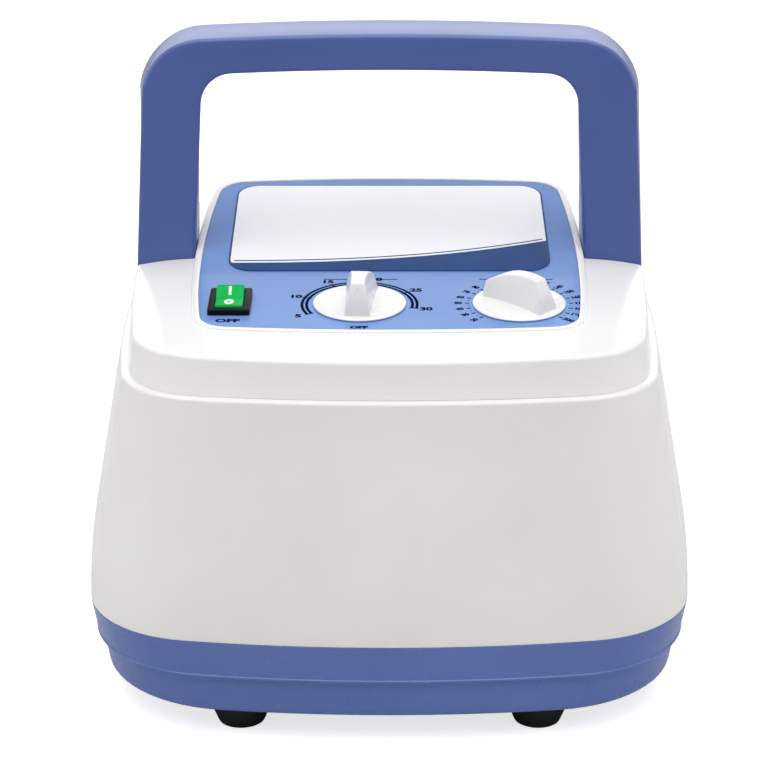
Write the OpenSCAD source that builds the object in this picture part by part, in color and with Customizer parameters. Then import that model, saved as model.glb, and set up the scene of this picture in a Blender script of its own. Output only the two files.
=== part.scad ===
// Compression therapy pump: a table-top air pump that fills a sleeve of four chambers in turn.
// Millimetres. X runs to the right, Y to the rear, Z up. The origin lies on the table, midway
// between the four feet.

/* [Housing] */
// Width of the body at its widest
body_w = 229; // [215:1:245]
// Depth of the body at its deepest
body_d = 248; // [238:1:265]
// Height of the rubber feet
foot_h = 11; // [8:0.5:15]
// Height of the blue pan, both bands
pan_h = 28; // [24:0.5:36]
// Height of the pan's lower band
pan_band_h = 14; // [10:0.5:18]
// How far the lower band is set in
pan_step = 1.6; // [0.8:0.1:2.4]
// Height of the white housing, from the pan to its rim
housing_h = 86.7; // [82:0.1:100]
// How far each side leans in over that height
side_lean = 14.4; // [8:0.2:17]
// How far the front and the rear lean in over that height
front_lean = 10.2; // [5:0.2:12]
// Corner radius of the body at the pan
low_corner_r = 44; // [38:0.5:50]
// Corner radius of the body at the rim
rim_corner_r = 33; // [28:0.5:38]
// Wall of the mouldings
wall = 2.6; // [2:0.1:3]

/* [Cover] */
// Width of the ledge that shows round the cover
ledge_w = 4; // [3:0.1:5]
// Height of the cover's front edge over the ledge
cover_rise = 13.3; // [10:0.1:18]
// Slope of the cover from its front edge to the middle
cover_slope = 4.9; // [2:0.1:6]
// Fall of the cover along its sides
side_fall = 2.8; // [1:0.1:4]
// Radius of the cover's top edge
cover_edge_r = 1.8; // [1:0.1:2.4]

/* [Console] */
// Width of the console at its widest
console_w = 146; // [140:0.5:148]
// Depth of the console
console_d = 134; // [128:0.5:138]
// Y of the console's front edge
console_front_y = -85.2; // [-90:0.2:-82]
// Corner radius of the console
console_r = 13; // [9:0.5:16]
// Height of the bezel over the cover at the front edge
bezel_rise = 0.9; // [0.6:0.1:2]
// Width of the bezel along the sides
bezel_side = 2.6; // [2:0.1:3.2]
// Width of the bezel along the front and rear
bezel_front = 1.7; // [1.4:0.1:2.6]
// Tilt of the front field of the panel, which holds the controls
front_tilt = 5; // [3:0.5:8]
// Tilt of the rear field of the panel
rear_tilt = 11.5; // [9:0.5:14]
// Depth of the front field, measured along the base
field_d = 56; // [54:0.5:58]
// Thickness of the panel overlay
overlay_t = 0.8; // [0.5:0.1:1]
// Thickness of the label
label_t = 0.4; // [0.3:0.1:0.6]
// Width of the label
label_w = 120.5; // [100:0.5:124]
// Corner radius of the label
label_r = 9; // [5:0.5:12]

/* [Handle] */
// How far the handle's legs stand in from the cover's sides
leg_inset = 0.6; // [0:0.1:2]
// Width of each leg at the cover
leg_w = 22; // [18:0.2:22.4]
// Depth of the handle from front to rear
handle_d = 27; // [22:0.5:30]
// Height of the bar's top over the table
handle_top = 232.7; // [222:0.1:250]
// Height of the bar
bar_h = 13.3; // [11:0.1:18]
// Lean of the legs
leg_lean = 3; // [1:0.1:4]
// Arch radius of the bar
bar_arch_r = 1345; // [900:5:2000]
// Outer corner radius of the handle
handle_r = 23.5; // [20:0.5:28]
// Inner corner radius of the handle
handle_in_r = 12.5; // [9:0.5:15]
// Radius of the handle's edges
handle_edge_r = 2; // [1:0.1:3]
// Depth of the sockets that hold the legs
socket_depth = 11; // [8:0.5:13]

/* [Controls] */
// X of the switch
switch_x = -57.1; // [-58:0.1:-54]
// X of the timer knob
timer_x = -10.7; // [-14:0.1:-8]
// X of the pressure knob
pressure_x = 46.5; // [42:0.1:48]
// Distance of the controls from the panel's front edge, along the slope
control_row = 24; // [22:0.1:26]
// Diameter of the knobs' skirts
knob_d = 33; // [30:0.5:35]
// Height of the knobs' skirts
skirt_h = 2.4; // [2:0.1:3.4]
// Height of a knob over the panel
knob_h = 16.8; // [15:0.2:20]
// Width of a knob's grip at its pointer
grip_w = 9.6; // [8.6:0.1:11]
// Width of a knob's grip at its back
grip_back_w = 12; // [10:0.1:13]
// Direction of the pressure knob's pointer at rest, from +X
pressure_turn = -40; // [-45:1:0]
// Diameter of both control shafts
shaft_d = 6; // [5:0.5:6.5]
// Width of the switch's frame
switch_w = 15; // [14:0.5:16]
// Length of the switch's frame
switch_l = 21; // [20:0.5:22]
// Height of the switch's frame over the panel
switch_h = 2.2; // [1.6:0.1:3]
// Tilt of the rocker to either side
rocker_tilt = 12; // [9:0.5:13]

/* [Feet] */
// Diameter of a foot at its top
foot_d = 22; // [18:0.5:24]
// Distance between the feet, left to right
foot_pitch_x = 106.8; // [96:0.2:116]
// Distance between the feet, front to rear
foot_pitch_y = 204; // [196:0.5:206]

/* [Rear] */
// Distance between neighbouring hose outlets
outlet_pitch = 19; // [17.5:0.5:21]
// Diameter of an outlet's bore
outlet_bore = 8; // [6:0.5:9]
// Depth of an outlet's bore
outlet_depth = 12; // [9:0.5:13]
// Height of the outlets and the inlet over the table
rear_row_z = 80; // [76:0.5:84]
// X of the inlet
inlet_x = 40; // [38:0.5:40.5]
// Depth of the rear bay, measured from the rim
bay_depth = 7.8; // [6.6:0.1:9]

/* [Compressor] */
// Length of the compressor's base plate
comp_l = 140; // [136:1:150]
// Width of the compressor's base plate
comp_w = 82; // [80:1:90]
// Y of the compressor's axis
comp_y = 12; // [4:0.5:14]
// Diameter of the cylinder bore
cyl_bore = 30; // [26:0.5:32]
// Radial play of the piston
piston_play = 0.05; // [0.03:0.01:0.08]
// Stroke of the piston to either side
piston_stroke = 3; // [2:0.25:3.5]
// Height of the rubber mounts
mount_h = 12; // [9:0.5:14]

/* [Distributor] */
// X of the distributor's axis
dist_x = -43; // [-45:0.5:-40]
// Y of the distributor's axis
dist_y = -76; // [-79:0.5:-74]
// Diameter of the distributor's body
dist_d = 50; // [46:0.5:52]
// Height of its gearmotor
motor_h = 20; // [17:0.5:22]
// Height of its rotor
rotor_h = 8; // [6:0.5:10]

/* [Hidden] */
$fn = 48;

seat = 0.3; // gap between a curved face and its neighbour
fit = 0.05; // radial play of a shaft in its bore
cut = 1; // how far a cutting shape runs past a face

pan_z = foot_h;
floor_z = pan_z + wall;
step_z = pan_z + pan_band_h;
seam_z = pan_z + pan_h;
rim_z = seam_z + housing_h;
side_arc_r = 600; // arc of the body's sides, seen from above
front_arc_r = 460; // arc of the body's front and rear, seen from above

// ---- Plan outlines: four arcs joined by tangent corners ----

// Centre of the corner that touches the side arc and the front arc
function corner_centre(hx, hy, rs, rf, rc) =
    let (
        ax = 0, ay = hy - rf, bx = hx - rs, by = 0,
        ra = rf - rc, rb = rs - rc,
        d = norm([bx - ax, by - ay]),
        a = (ra * ra - rb * rb + d * d) / (2 * d),
        h = sqrt(max(ra * ra - a * a, 0)),
        ux = (bx - ax) / d, uy = (by - ay) / d
    )
    [ax + a * ux + h * uy, ay + a * uy - h * ux];

// One quarter, from +X round to +Y
function quarter(hx, hy, rs, rf, rc, ns = 3, nc = 8, nf = 4) =
    let (
        c = corner_centre(hx, hy, rs, rf, rc),
        t1 = atan2(c.y, c.x - hx + rs),
        t2 = atan2(c.y - hy + rf, c.x)
    )
    concat(
        [for (i = [0:ns - 1]) let (t = t1 * i / ns) [hx - rs + rs * cos(t), rs * sin(t)]],
        [for (i = [0:nc - 1]) let (t = t1 + (t2 - t1) * i / nc) c + rc * [cos(t), sin(t)]],
        [for (i = [0:nf]) let (t = t2 + (90 - t2) * i / nf) [rf * cos(t), hy - rf + rf * sin(t)]]
    );

// Closed outline, drawn in by inset and moved back by cy
function outline(hx, hy, rs, rf, rc, inset = 0, cy = 0) =
    let (
        q = quarter(hx - inset, hy - inset, rs - inset, rf - inset, max(rc - inset, 1)),
        n = len(q) - 1
    )
    [
        for (i = [0:n - 1]) [q[i].x, q[i].y + cy],
        for (i = [n:-1:1]) [-q[i].x, q[i].y + cy],
        for (i = [0:n - 1]) [-q[i].x, cy - q[i].y],
        for (i = [n:-1:1]) [q[i].x, cy - q[i].y]
    ];

function at_z(ring, z) = [for (p = ring) [p.x, p.y, z]];
function between(a, b, t) = [for (i = [0:len(a) - 1]) a[i] * (1 - t) + b[i] * t];

// Skins a row of rings. A looped row closes on itself, and any other row gets flat ends.
module skin(rings, looped = false) {
    n = len(rings[0]);
    m = len(rings);
    strips = [for (j = [0:looped ? m - 1 : m - 2], i = [0:n - 1])
        let (a = j * n + i, b = j * n + (i + 1) % n,
             c = (j + 1) % m * n + (i + 1) % n, d = (j + 1) % m * n + i)
        each [[a, d, c], [a, c, b]]];
    ends = looped ? [] : [[for (i = [0:n - 1]) i], [for (i = [n - 1:-1:0]) (m - 1) * n + i]];
    polyhedron(points = [for (r = rings) each r], faces = concat(ends, strips));
}

// ---- Body: how far the walls lean in at a height, from 0 at the pan to 1 at the rim ----

bend_z = seam_z - 3; // below this height the walls stand upright
bend_h = 26; // height over which they bend into their lean
function lean(z) =
    let (t = max(z - bend_z, 0), full = rim_z - bend_z - bend_h / 2)
    (t < bend_h ? t * t / (2 * bend_h) : t - bend_h / 2) / full;
function body_ring(z, inset = 0) =
    let (s = lean(z))
    outline(body_w / 2 - side_lean * s, body_d / 2 - front_lean * s, side_arc_r, front_arc_r,
        low_corner_r + (rim_corner_r - low_corner_r) * s, inset);
function body_level(z, inset = 0) = at_z(body_ring(z, inset), z);

// ---- Cover ----

cover_hx = body_w / 2 - side_lean - ledge_w;
cover_hy = body_d / 2 - front_lean - ledge_w;
cover_z = rim_z + cover_rise;
crown_w = 20; // half length of the round top of the slope
skirt_draft = 0.5;
cover_corner_r = rim_corner_r - ledge_w;
console_hy = console_d / 2;
console_cy = console_front_y + console_hy;

function cover_ring(inset = 0) =
    outline(cover_hx, cover_hy, side_arc_r - ledge_w, front_arc_r - ledge_w, cover_corner_r, inset);

// Height of the cover's surface
function crown(x, y) =
    let (
        ay = abs(y),
        run = ay > crown_w ? ay : (ay * ay + crown_w * crown_w) / (2 * crown_w),
        fall_w = 25,
        over = max(abs(x) - (cover_hx - fall_w), 0) / fall_w
    )
    cover_z + tan(cover_slope) * (cover_hy - run) - side_fall * over * over;
function on_crown(ring, drop = 0) = [for (p = ring) [p.x, p.y, crown(p.x, p.y) - drop]];

// ---- Console ----

console_side_arc = 430;
console_front_arc = 650;
function console_ring(inset = 0, end_inset = 0) =
    outline(console_w / 2 - inset, console_hy - end_inset, console_side_arc - inset,
        console_front_arc - end_inset, console_r - inset, 0, console_cy);

panel_y = console_front_y + bezel_front; // front edge of the panel
bezel_z = crown(0, console_front_y) + bezel_rise; // bezel's top at the front edge
crease_y = console_front_y + field_d;
crease_z = bezel_z + field_d * tan(front_tilt);
console_rear_y = console_front_y + console_d;
recess = overlay_t + 0.5; // depth of the bezel's frame over the deck
deck_t = 2.4;

// Side view of everything under the console's roof, lowered by drop
roof_low = rim_z - 25;
module under_roof(drop = 0, low = roof_low, grow = 40) {
    front_y = console_front_y - grow;
    rear_y = console_rear_y + grow;
    rotate([90, 0, 90])
        linear_extrude(console_w + 2 * grow, center = true)
            polygon([
                [front_y, low],
                [rear_y, low],
                [rear_y, crease_z - drop + (rear_y - crease_y) * tan(rear_tilt)],
                [crease_y, crease_z - drop],
                [front_y, crease_z - drop - (crease_y - front_y) * tan(front_tilt)]
            ]);
}

module console_block(inset, end_inset, drop, low, high = 60) {
    intersection() {
        translate([0, 0, low])
            linear_extrude(high)
                polygon(console_ring(inset, end_inset));
        under_roof(drop, low - cut);
    }
}

// Frame of the front field: on the panel's surface, x across, y up the slope, z out of it
panel_surface = bezel_z + bezel_front * tan(front_tilt) - recess + overlay_t;
module on_panel(x = 0, s = 0, h = 0) {
    translate([x, panel_y, panel_surface])
        rotate([front_tilt, 0, 0])
            translate([0, s, h])
                children();
}
function panel_point(x, s, h) = [
    x,
    panel_y + s * cos(front_tilt) - h * sin(front_tilt),
    panel_surface + s * sin(front_tilt) + h * cos(front_tilt)
];
deck_under = -overlay_t - deck_t; // underside of the cover's deck, in the panel's own frame

// Frame of the rear field: on the panel's surface at the crease
module on_rear_field(s = 0, h = 0) {
    translate([0, crease_y, crease_z - recess + overlay_t])
        rotate([rear_tilt, 0, 0])
            translate([0, s, h])
                children();
}

// ---- Handle ----

handle_w = 2 * (cover_hx - leg_inset); // width over the legs at the cover
handle_z = crown(handle_w / 2, 0); // where the legs leave the cover
socket_z = handle_z - socket_depth;
handle_arc_z = handle_top - bar_arch_r;

// Path up one leg, round its corner and along half of the bar
function leg_path(x0, r, arch_r, nc = 7, na = 5) =
    let (
        u = [-sin(leg_lean), cos(leg_lean)],
        n = [-cos(leg_lean), -sin(leg_lean)],
        foot = [x0, handle_z],
        q = foot + n * r - [0, handle_arc_z],
        b = u * q,
        c = q * q - pow(arch_r - r, 2),
        centre = foot + n * r + u * (-b + sqrt(b * b - c)),
        t2 = atan2(centre.y - handle_arc_z, centre.x),
        drop = (socket_z - foot.y) / u.y
    )
    concat(
        [foot + u * drop],
        [for (i = [0:nc]) let (t = leg_lean + (t2 - leg_lean) * i / nc)
            centre + r * [cos(t), sin(t)]],
        [for (i = [1:na]) let (t = t2 + (90 - t2) * i / na)
            [0, handle_arc_z] + arch_r * [cos(t), sin(t)]]
    );
function over_and_down(path) =
    concat(path, [for (i = [len(path) - 2:-1:0]) [-path[i].x, path[i].y]]);

// Points round a rectangle w by d with round corners
function round_section(w, d, r, n = 3) = [
    for (q = [0:3], i = [0:n])
        let (t = 90 * q + 90 * i / n, sx = q == 0 || q == 3 ? 1 : -1, sy = q < 2 ? 1 : -1)
        [sx * (w / 2 - r) + r * cos(t), sy * (d / 2 - r) + r * sin(t)]
];
// Cross-section of the handle between a point of its outer path and one of its inner path
function handle_section(po, pi) =
    let (w = norm(po - pi), e = (po - pi) / w, m = (po + pi) / 2)
    [for (p = round_section(w, handle_d, handle_edge_r)) [m.x + e.x * p.x, p.y, m.y + e.y * p.x]];
handle_out = over_and_down(leg_path(handle_w / 2, handle_r, bar_arch_r));
handle_in = over_and_down(leg_path(handle_w / 2 - leg_w, handle_in_r, bar_arch_r - bar_h));

leg_mid_x = handle_w / 2 - leg_w / 2 + socket_depth * tan(leg_lean) / 2;
leg_screw_pitch = handle_d * 0.5;
leg_screw_d = 4;

module mirror_x() {
    children();
    mirror([1, 0, 0]) children();
}
module four_corners(x, y, z = 0) {
    for (sx = [-1, 1], sy = [-1, 1]) translate([sx * x, sy * y, z]) children();
}

// Block with round upright corners, centred on z
module round_block(w, l, r, h) {
    linear_extrude(h) {
        square([w - 2 * r, l], center = true);
        square([w, l - 2 * r], center = true);
        for (sx = [-1, 1], sy = [-1, 1])
            translate([sx * (w / 2 - r), sy * (l / 2 - r)]) circle(r);
    }
}

// Screw with its head downwards at z = 0 and its shank pointing up
module screw(shank_d, length, head_d, head_h) {
    cylinder(d = head_d, h = head_h);
    translate([0, 0, head_h]) cylinder(d = shank_d, h = length);
}

// ---- Posts and bosses shared by the shells ----

post_x = cover_hx - 17;
post_y = cover_hy - 32;
post_d = 10;
post_top = seam_z + 12;
post_screw_d = 4;
post_head_d = 7.6;
post_head_h = 3;
post_seat_z = pan_z + 8; // underside of the post's web, where the screw's head sits
foot_boss_h = 6;

comp_mount_x = comp_l / 2 - 12;
comp_mount_y = comp_w / 2 - 12;

board_w = 60;
board_l = 46;
board_x = 38;
board_y = 44 - body_d / 2;
board_t = 1.6;
board_post_h = 9;
board_hole_x = board_w / 2 - 4; // places of the board's screws, from its middle
board_hole_y = board_l / 2 - 4;
board_screw_d = 2.6;
vent_x = 40; // middle of the slots on either side
vent_l = 28;
vent_w = 3;
vent_pitch = 8;

module base_pan() {
    color("#5968a0") {
        edge = 2; // rounding of the pan's lower edge
        difference() {
            union() {
                skin([
                    for (a = [0, 30, 60, 90])
                        body_level(pan_z + edge * (1 - cos(a)), pan_step + edge * (1 - sin(a))),
                    body_level(step_z, pan_step),
                    body_level(step_z + 0.4, 0.2),
                    body_level(step_z + 0.9, 0),
                    body_level(seam_z, 0),
                    body_level(seam_z, wall),
                    body_level(floor_z + 6, wall + pan_step),
                    body_level(floor_z, wall + pan_step + 7)
                ]);
                // Lip that centres the housing
                skin([
                    body_level(seam_z - 4, wall + pan_step + 0.2),
                    body_level(seam_z - 4, wall - 0.4),
                    body_level(seam_z, wall),
                    body_level(seam_z, wall + seat),
                    body_level(seam_z + 3, wall + seat),
                    body_level(seam_z + 3, wall + seat + 1.6)
                ], looped = true);
                four_corners(post_x, post_y, pan_z + cut)
                    cylinder(d = post_d, h = post_top - pan_z - cut);
                four_corners(foot_pitch_x / 2, foot_pitch_y / 2, floor_z - cut)
                    cylinder(d = 9, h = foot_boss_h + cut);
                for (sx = [-1, 1], sy = [-1, 1])
                    translate([sx * comp_mount_x, comp_y + sy * comp_mount_y, floor_z - cut])
                        cylinder(d = 7, h = mount_h * 0.6 + cut);
                translate([board_x, board_y, 0])
                    four_corners(board_hole_x, board_hole_y, floor_z - cut)
                        cylinder(d = 7, h = board_post_h + cut);
            }
            four_corners(post_x, post_y, pan_z - cut) {
                cylinder(d = post_head_d + 0.8, h = post_seat_z - pan_z + cut);
                cylinder(d = post_screw_d + 0.6, h = post_top - pan_z + 2 * cut);
            }
            four_corners(foot_pitch_x / 2, foot_pitch_y / 2, pan_z - cut)
                cylinder(d = 3.5, h = foot_boss_h + wall + cut - 1);
            for (side = [-1, 1], i = [-3:3])
                translate([side * vent_x - vent_l / 2, comp_y + i * vent_pitch - vent_w / 2,
                        pan_z - cut])
                    cube([vent_l, vent_w, wall + 2 * cut]);
            translate([board_x, board_y, 0])
                four_corners(board_hole_x, board_hole_y, floor_z + 2)
                    cylinder(d = board_screw_d, h = board_post_h);
        }
    }
}

// ---- Rear bay, where the hoses and the mains lead go in ----

bay_w = 132;
bay_h = 46;
bay_y = body_d / 2 - front_lean - bay_depth; // outer face of the bay's floor
bay_wall = 3.2; // wall and floor of the bay
bay_r = 6;
outlet_x0 = -52; // first outlet
function outlet_x(i) = outlet_x0 + i * outlet_pitch;
outlet_thread_d = 12;
inlet_w = 27.4;
inlet_h = 31;
inlet_screw_x = 20;
inlet_plate_w = 2 * inlet_screw_x + 9;
// The housing forms the bay's floor round the inlet, and a panel closes the rest from inside
floor_split_x = inlet_x - inlet_plate_w / 2 - 1;

// Plate behind the whole bay
module bay_plate() {
    translate([0, bay_y, rear_row_z])
        rotate([90, 0, 0])
            round_block(bay_w + 2 * bay_wall, bay_h + 2 * bay_wall, bay_r + bay_wall, bay_wall);
}
// Block that covers the bay from x0 to x1
module bay_range(x0, x1) {
    translate([x0, bay_y - 10, rear_row_z - bay_h]) cube([x1 - x0, 10 + cut, 2 * bay_h]);
}

module outlet_panel() {
    color("#e4e2dd")
        difference() {
            intersection() {
                bay_plate();
                bay_range(-bay_w, floor_split_x - seat);
            }
            for (i = [0:3])
                translate([outlet_x(i), bay_y + cut, rear_row_z])
                    rotate([90, 0, 0]) cylinder(d = outlet_thread_d + 0.6, h = bay_wall + 2 * cut);
        }
}

module lower_housing() {
    color("#eceae6") {
        inner_edge = ledge_w + wall + 1.4; // inner edge of the rim's flange
        difference() {
            union() {
                skin([
                    body_level(seam_z, 0),
                    for (i = [1:6]) body_level(seam_z + 36 * i / 6, 0),
                    body_level(rim_z - 26, 0),
                    body_level(rim_z - 1.6, 0),
                    body_level(rim_z - 0.8, 0.25),
                    body_level(rim_z - 0.2, 0.85),
                    body_level(rim_z, 1.6),
                    body_level(rim_z, inner_edge),
                    body_level(rim_z - wall, inner_edge),
                    body_level(rim_z - wall, wall + 1.5),
                    body_level(rim_z - wall - 2, wall),
                    for (i = [5:-1:1]) body_level(seam_z + 40 * i / 5, wall),
                    body_level(seam_z, wall)
                ], looped = true);
                intersection() {
                    skin([for (z = [0:5]) body_level(rear_row_z - 32 + 12.6 * z, wall / 2)]);
                    translate([0, bay_y, rear_row_z])
                        rotate([-90, 0, 0])
                            round_block(bay_w + 2 * bay_wall, bay_h + 2 * bay_wall,
                                bay_r + bay_wall, 30);
                }
            }
            translate([0, bay_y - cut, rear_row_z])
                rotate([-90, 0, 0]) round_block(bay_w, bay_h, bay_r, 30);
        }
        difference() {
            intersection() {
                bay_plate();
                bay_range(floor_split_x, bay_w);
            }
            translate([inlet_x - inlet_w / 2 - 0.3, bay_y - bay_wall - cut,
                    rear_row_z - inlet_h / 2 - 0.3])
                cube([inlet_w + 0.6, bay_wall + 2 * cut, inlet_h + 0.6]);
            for (s = [-1, 1])
                translate([inlet_x + s * inlet_screw_x, bay_y + cut, rear_row_z])
                    rotate([90, 0, 0]) cylinder(d = 3.6, h = bay_wall + 2 * cut);
        }
    }
}

socket_wall = 2.2;
module leg_space(grow, low, high) {
    // Straight-sided space round one leg, from low to high
    x_in = handle_w / 2 - leg_w;
    x_out = handle_w / 2 + socket_depth * tan(leg_lean);
    translate([x_in - grow, -handle_d / 2 - grow, low])
        cube([x_out - x_in + 2 * grow, handle_d + 2 * grow, high - low]);
}

module top_cover() {
    color("#f4f3f0") {
        lip = ledge_w + wall + 1.4 + seat - ledge_w; // inset of the centring lip, from the skirt
        edge_in = skirt_draft + cover_edge_r;
        outer = cover_ring(edge_in);
        base = console_ring();
        in_edge = cover_ring(wall + edge_in);
        in_base = console_ring(-wall, -wall);
        difference() {
            union() {
                skin([
                    at_z(cover_ring(0), rim_z),
                    [for (p = cover_ring(skirt_draft)) [p.x, p.y, crown(p.x, p.y) - cover_edge_r]],
                    for (a = [30, 60])
                        on_crown(cover_ring(edge_in - cover_edge_r * cos(a)),
                            cover_edge_r * (1 - sin(a))),
                    on_crown(outer),
                    for (t = [0.2, 0.45, 0.7]) on_crown(between(outer, base, t)),
                    on_crown(base),
                    on_crown(console_ring(wall, wall)),
                    on_crown(console_ring(wall, wall), wall),
                    for (t = [0.6, 0.3]) on_crown(between(in_edge, console_ring(wall, wall), t), wall),
                    on_crown(in_edge, wall),
                    [for (p = cover_ring(wall + skirt_draft)) [p.x, p.y, crown(p.x, p.y) - wall - cover_edge_r]],
                    at_z(cover_ring(wall), rim_z + 2.4),
                    at_z(cover_ring(lip + 1.5), rim_z + 0.6),
                    at_z(cover_ring(lip + 1.5), rim_z - 3),
                    at_z(cover_ring(lip), rim_z - 3),
                    at_z(cover_ring(lip), rim_z)
                ], looped = true);
                difference() {
                    console_block(0, 0, 0, crown(0, console_front_y) - 4);
                    console_block(wall, wall, recess + deck_t, crown(0, console_front_y) - 8);
                }
                mirror_x()
                    intersection() {
                        leg_space(socket_wall, socket_z - wall, handle_z + 6);
                        skin([
                            at_z(cover_ring(wall), rim_z - 6),
                            on_crown(cover_ring(wall), wall / 2)
                        ]);
                    }
                for (sx = [-1, 1], sy = [-1, 1])
                    translate([sx * post_x, sy * post_y, post_top])
                        cylinder(d = post_d - 1, h = crown(post_x, post_y) - wall / 2 - post_top);
            }
            console_block(bezel_side, bezel_front, -20, crown(0, console_front_y) - 8, 1);
            difference() {
                console_block(bezel_side, bezel_front, -20, crown(0, console_front_y) - 2);
                under_roof(recess);
            }
            mirror_x() leg_space(seat / 2, socket_z, handle_z + 12);
            mirror_x()
                for (s = [-1, 1])
                    translate([leg_mid_x, s * leg_screw_pitch / 2, socket_z - wall - cut])
                        cylinder(d = leg_screw_d + 0.6, h = wall + 2 * cut);
            for (sx = [-1, 1], sy = [-1, 1])
                translate([sx * post_x, sy * post_y, post_top - cut])
                    cylinder(d = post_screw_d - 0.4, h = 26);
            on_panel(timer_x, control_row, deck_under - cut)
                cylinder(d = bush_d + 0.4, h = 12);
            on_panel(pressure_x, control_row, deck_under - cut)
                cylinder(d = bush_d + 0.4, h = 12);
            on_panel(switch_x, control_row, deck_under - cut)
                translate([-switch_hole_w / 2, -switch_hole_l / 2, 0])
                    cube([switch_hole_w, switch_hole_l, 12]);
        }
    }
}

module carry_handle() {
    color("#50609a")
        difference() {
            skin([for (i = [0:len(handle_out) - 1]) handle_section(handle_out[i], handle_in[i])]);
            mirror_x()
                for (s = [-1, 1])
                    translate([leg_mid_x, s * leg_screw_pitch / 2, socket_z - cut])
                        cylinder(d = leg_screw_d, h = socket_depth + 3 + cut);
        }
}

// ---- Panel ----

bush_d = 10; // threaded bush of both controls
overlay_gap = 0.2; // between the overlay and the bezel
switch_hole_w = switch_w - 1.8;
switch_hole_l = switch_l - 1.6;

module panel_overlay() {
    color("#8fa9e0")
        difference() {
            intersection() {
                console_block(bezel_side + overlay_gap, bezel_front + overlay_gap,
                    recess - overlay_t, crown(0, console_front_y) - 2);
                difference() {
                    under_roof(-20, roof_low + cut);
                    under_roof(recess, roof_low, 60);
                }
            }
            on_panel(timer_x, control_row, -5) cylinder(d = bush_d + 0.4, h = 12);
            on_panel(pressure_x, control_row, -5) cylinder(d = bush_d + 0.4, h = 12);
            on_panel(switch_x, control_row, -5)
                translate([-switch_hole_w / 2, -switch_hole_l / 2, 0])
                    cube([switch_hole_w, switch_hole_l, 12]);
        }
}

label_margin = 5.6; // blue left between the label and the panel's rear edge
label_s0 = 0.8; // start of the label behind the crease
label_l = (console_d - field_d - bezel_front) / cos(rear_tilt) - label_s0 - label_margin;

module label_plate() {
    color("#f6f7fa")
        on_rear_field(label_s0 + label_l / 2) round_block(label_w, label_l, label_r, label_t);
}

// ---- Switch ----

rocker_w = switch_w - 5.2;
rocker_r = switch_l / 2 - 3; // radius of the rocker's ends round its pins
rocker_pivot_h = -1.2; // height of the pins in the panel's frame
rocker_face_h = 3.4; // height of the faces' meeting line over the pins
rocker_pin_d = 2.4;
switch_depth = 21;

module switch_body() {
    color("#262528")
        on_panel(switch_x, control_row)
            difference() {
                union() {
                    translate([-switch_w / 2, -switch_l / 2, 0])
                        cube([switch_w, switch_l, switch_h]);
                    translate([-switch_hole_w / 2 + 0.2, -switch_hole_l / 2 + 0.2, -switch_depth])
                        cube([switch_hole_w - 0.4, switch_hole_l - 0.4, switch_depth]);
                    for (s = [-1, 1])
                        translate([s * (switch_hole_w / 2 - 0.2) - 0.5, -2.5, deck_under - 3.2])
                            cube([1, 5, 3]);
                }
                translate([-rocker_w / 2 - seat, 0, rocker_pivot_h])
                    rotate([0, 90, 0])
                        cylinder(r = rocker_r + seat, h = rocker_w + 2 * seat, $fn = 64);
                translate([0, 0, rocker_pivot_h])
                    rotate([0, 90, 0])
                        cylinder(r = rocker_pin_d / 2 + fit, h = rocker_w + 1.6, center = true);
            }
}

module switch_rocker() {
    color("#0fae55")
        on_panel(switch_x, control_row, rocker_pivot_h)
            rotate([rocker_tilt, 0, 0]) {
                rotate([90, 0, 90])
                    linear_extrude(rocker_w, center = true)
                        intersection() {
                            circle(r = rocker_r, $fn = 64);
                            polygon([
                                [-rocker_r - 1, -3.6], [rocker_r + 1, -3.6],
                                [rocker_r + 1, rocker_face_h + (rocker_r + 1) * tan(rocker_tilt)],
                                [0, rocker_face_h],
                                [-rocker_r - 1, rocker_face_h + (rocker_r + 1) * tan(rocker_tilt)]
                            ]);
                        }
                rotate([0, 90, 0])
                    cylinder(d = rocker_pin_d, h = rocker_w + 1.4, center = true);
            }
}

module switch_terminals() {
    color("#c9a25a")
        on_panel(switch_x, control_row, -switch_depth)
            for (x = [-1, 1], y = [-1, 1])
                translate([x * 3.4 - 0.4, y * 5 - 2.4, -8])
                    cube([0.8, 4.8, 8]);
}

// ---- Knobs and what they turn ----

knob_lift = 0.5; // gap between the panel and a knob's skirt
knob_bore_h = knob_h - 7;
shaft_top = knob_lift + knob_bore_h - 0.4;

grip_front = knob_d / 2 - 2.6; // reach of the grip's foot towards the pointer
grip_back = knob_d / 2 - 3.4; // and away from it
grip_crest = 5; // distance of the grip's crest in front of the axis
grip_draft = 1.7; // how much each side of the grip draws in

// Side of the grip: a slanted pointer end, an arched top that falls away, an upright back
module grip_side() {
    top = knob_h - knob_lift;
    tip = grip_front - 4.4;
    polygon([
        [grip_back, skirt_h - 1.4],
        for (i = [0:7])
            let (y = grip_back - 0.6 - (grip_back - 0.6 + tip) * i / 7)
            [y, top - 0.0185 * pow(y + grip_crest, 2)],
        [-grip_front, skirt_h], [-grip_front, skirt_h - 1.4]
    ]);
}
// Plan of the grip, narrow at the pointer, drawn in by inset
module grip_plan(inset) {
    y0 = knob_d / 2;
    slope = (grip_back_w - grip_w) / (grip_back + grip_front) / 2;
    x0 = grip_w / 2 - (y0 - grip_front) * slope - inset;
    x1 = grip_back_w / 2 + (y0 - grip_back) * slope - inset;
    polygon([[-x0, -y0], [x0, -y0], [x1, y0], [-x1, y0]]);
}
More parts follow.
